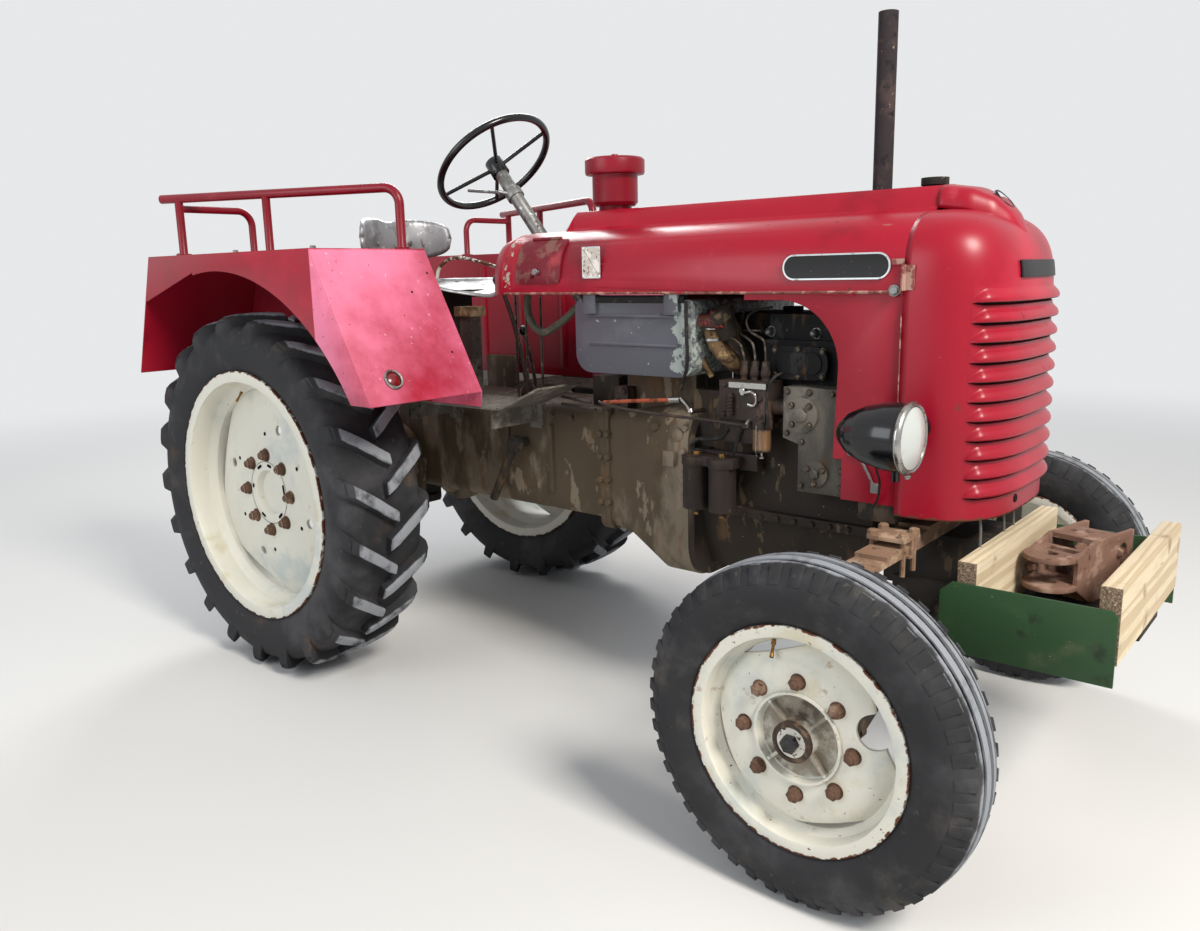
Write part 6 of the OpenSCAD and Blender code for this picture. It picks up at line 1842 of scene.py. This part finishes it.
def chequer(side, word):
    shape = bmesh.new()
    stud = plate_part(19, 5.5, 1.1, 2.4)
    low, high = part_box("footplates")
    columns = int((high.x - low.x) / (STUD_PITCH * MM))
    for i in range(columns):
        for j in range(STUD_ROWS):
            x = low.x + (i + 0.5) * STUD_PITCH * MM
            y = side * (INNER_ROW + j * STUD_PITCH * MM)
            spot = Vector((x, y, high.z + 0.3))
            hit = SURFACES["footplates"].ray_cast(spot, (0, 0, -1))
            if hit[0] is not None and hit[1].z > 0.9:
                lean = facing(hit[0], hit[1], twist=math.pi / 4 * (1 if (i + j) % 2 else -1))
                add(shape, stud, lean)
    return settle("chequer_studs_" + word, shape, plate_steel, "frame", sharp=50)


met("footplates", at(600, 250, 1200), (0, 0, -1))
for side, word in ((1, "left"), (-1, "right")):
    studs = chequer(side, word)
    print("chequer", word, "has", len(studs.data.polygons), "faces")

# %% [markdown]
# Ahead of the seat stand the gear levers, which end in black balls. The long one leaves the
# gearbox through a flared boot.

# %% Gear levers
lever_shape = bmesh.new()
KNOB_AT = at(470, -62, 1180)
add(lever_shape, pipe_part([at(560, -40, 822), at(548, -44, 900), at(520, -52, 1040), KNOB_AT], 7))
boot = turned_part([(0, 0), (26, 0), (24, 22), (14, 34), (9, 44)], 32)
add(lever_shape, boot, Matrix.Translation(at(560, -40, 824)))
add(lever_shape, pipe_part([at(500, 60, 820), at(470, 66, 930), at(440, 70, 1010)], 6))
settle("gear_levers", lever_shape, pipe_steel, "frame")
ball_shape = bmesh.new()
KNOB_R = 20
arc = [k / 12 * math.pi for k in range(13)]
ball = turned_part([(KNOB_R * math.sin(a), -KNOB_R * math.cos(a)) for a in arc], 28)
add(ball_shape, ball, Matrix.Translation(KNOB_AT))
add(ball_shape, ball, Matrix.Translation(at(438, 70, 1016)) @ Matrix.Scale(0.8, 4))
settle("lever_knobs", ball_shape, wheel_black, "frame", sharp=60)

print("gear levers are on")

# %% [markdown]
# Under the cowl a thick olive hose hangs in a loop and goes behind the tank, and three thin pipes
# drop to the castings. By the seat a cream lever rises in a bend, and a block of wood lies on a
# post. What stands there is brought down to the first solid under it by a line cast down.

# %% Hose, pipes, bent lever and post
HOSE_SIDE = -150
PIPE_SIDE = -110
LEVER_SIDE = 60
POST_SIDE = -95
BLOCK_DEEP = 30
STANDING_ON = ("footplates", "gearbox_housing", "clutch_housing")
met("gearbox_housing", at(500, 0, 1200), (0, 0, -1))


def rests(spot):
    """The highest solid right under a spot, where a pipe or a post can stand."""
    falls = [SURFACES[node].ray_cast(spot, Vector((0, 0, -1))) for node in STANDING_ON]
    hits = [fall[0] for fall in falls if fall[0] is not None]
    if not hits:
        print("nothing under", spot)
        return spot
    return max(hits, key=lambda hit: hit.z)


olive_hose = weathered("olive hose", seen_as(88, 90, 78), 0.8, [
    Coat(seen_as(120, 116, 98), 0.05, 0.52, 0.15, rough=0.9),
    Coat(seen_as(52, 52, 46), 0.03, 0.56, 0.10, rough=0.9),
])
hose_shape = bmesh.new()
loop = [seen_at(u, v, HOSE_SIDE) for u, v in ((528, 285), (529, 316), (542, 332), (556, 326), (582, 303))]
add(hose_shape, pipe_part(loop, 11))
settle("dash_hoses", hose_shape, olive_hose, "frame")
pipes_shape = bmesh.new()
for u in (515, 525, 540):
    top = seen_at(u, 294, PIPE_SIDE)
    add(pipes_shape, pipe_part([top, rests(top)], 4))
settle("dash_pipes", pipes_shape, pipe_steel, "frame")

bend = [seen_at(u, v, LEVER_SIDE) for u, v in ((438, 272), (445, 262), (455, 258), (487, 264), (500, 268))]
foot = rests(bend[0] - Vector((0, 0, 0.1)))
rod_shape = bmesh.new()
add(rod_shape, pipe_part([foot] + bend, 6))
settle("hitch_rod", rod_shape, cream_paint("hitch rod paint", foot, 0.4, 0.4), "frame")

block_at = seen_at(470, 316, POST_SIDE)
post_foot = rests(block_at)
post_tall = (block_at.z - post_foot.z) / MM
old_wood = rusted("old wood", seen_as(120, 98, 72), seen_as(196, 172, 128))
post_shape, block_shape = bmesh.new(), bmesh.new()
add(post_shape, plate_part(52, 44, post_tall, 3), Matrix.Translation(post_foot))
add(block_shape, plate_part(84, 60, BLOCK_DEEP, 3), Matrix.Translation(block_at))
settle("seat_post", post_shape, plate_steel, "frame")
settle("seat_block", block_shape, old_wood, "frame")
print("the post under the seat is", round(post_tall), "mm tall")

# %% [markdown]
# A strip of rubber packing lies along each shoulder of the tank, under the edge of the bonnet,
# and closes the gap that would let daylight through.

# %% Tank packing
tank_low, tank_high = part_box("fuel_tank")
PACKING = 11 * MM
packing_y = tank_low.y + 1.4 * PACKING
packing_z = seen_at(632, 296.5, 0).z
packing_shape = bmesh.new()
for y in (packing_y, -packing_y):
    ends = [Vector((x, y, packing_z)) for x in (tank_low.x + 0.03, tank_high.x - 0.03)]
    add(packing_shape, pipe_part(ends, PACKING / MM))
settle("tank_packing", packing_shape, hose_rubber_and_painted_shade, "frame")
print("the packing lies at", round(packing_z, 3), "m")

# %% [markdown]
# Last come the marks on the sheets: small holes in the front plates of the fenders and the hole for
# the starting crank low on the mask, both dark discs of painted shade with nothing cut, a reflector
# in a bright ring, and the bolts of the rails.
# What the photograph shows on the right fender is mirrored to the left one.

# %% Marks on the fenders and the mask
def seen_face(node, u, v):
    """The point of a node that the photograph shows at pixel (u, v), and which way its face looks."""
    return seen_on(node, u, v), SURFACES[node].ray_cast(CAMERA_AT, sight(u, v))[1]


def mirrored(vector):
    """The same point or direction on the tractor's other side."""
    return Vector((vector.x, -vector.y, vector.z))


# The fender holes are dark discs of painted shade laid on the sheet, not openings.
hole_shade_shape = bmesh.new()
hole = turned_part([(0, 0.5), (3.6, 0.5), (3.8, 0)], 20)
for u, v in ((427, 273), (452, 352), (412, 292)):
    spot, out = seen_face("fender_right", u, v)
    add(hole_shade_shape, hole, facing(spot, out))
    add(hole_shade_shape, hole, facing(mirrored(spot), mirrored(out)))
settle("fender_hole_shade", hole_shade_shape, hose_rubber_and_painted_shade, "frame")

# The crank hole is a near-black disc of painted shade on the mask, not an opening.
crank_hole_shade_shape = bmesh.new()
crank_spot, crank_out = seen_face("grille_mask", 1015, 498)
add(crank_hole_shade_shape, turned_part([(0, 1.6), (9, 1.6), (9.8, 0)], 32), facing(crank_spot, crank_out))
settle("mask_crank_hole_shade", crank_hole_shade_shape, gap_shade_and_seam_black, "frame")

reflector_red = weathered("reflector red", seen_as(120, 22, 26), 0.2, [
    Coat(seen_as(60, 16, 18), 0.01, 0.52, 0.08, rough=0.3),
], clear=0.6)
reflector_shape, ring_shape = bmesh.new(), bmesh.new()
bright_ring = turned_part([(20, 0), (27, 0), (28, 4), (25, 8), (21, 7), (20, 4)], 40)
domed = turned_part([(20.5, 2), (14, 6.5), (7, 8), (0, 8.4)], 40)
spot, out = seen_face("fender_right", 393, 380)
for place in (facing(spot, out), facing(mirrored(spot), mirrored(out))):
    add(ring_shape, bright_ring, place)
    add(reflector_shape, domed, place)
settle("fender_reflectors", reflector_shape, reflector_red, "frame", sharp=60)
settle("reflector_rings", ring_shape, chrome, "frame")

rail_feet = bmesh.new()
for side, node in ((-1, "fender_right"), (1, "fender_left")):
    for x, y in ((-262, 700), (-262, 470), (440, 700), (60, 700), (440, 470)):
        top = met(node, at(x, side * y, 1500), (0, 0, -1))
        add(rail_feet, hex_part(15, 8, washer=11), Matrix.Translation(top))
settle("fender_bolts", rail_feet, column_zinc, "frame")
print("the last marks are on")
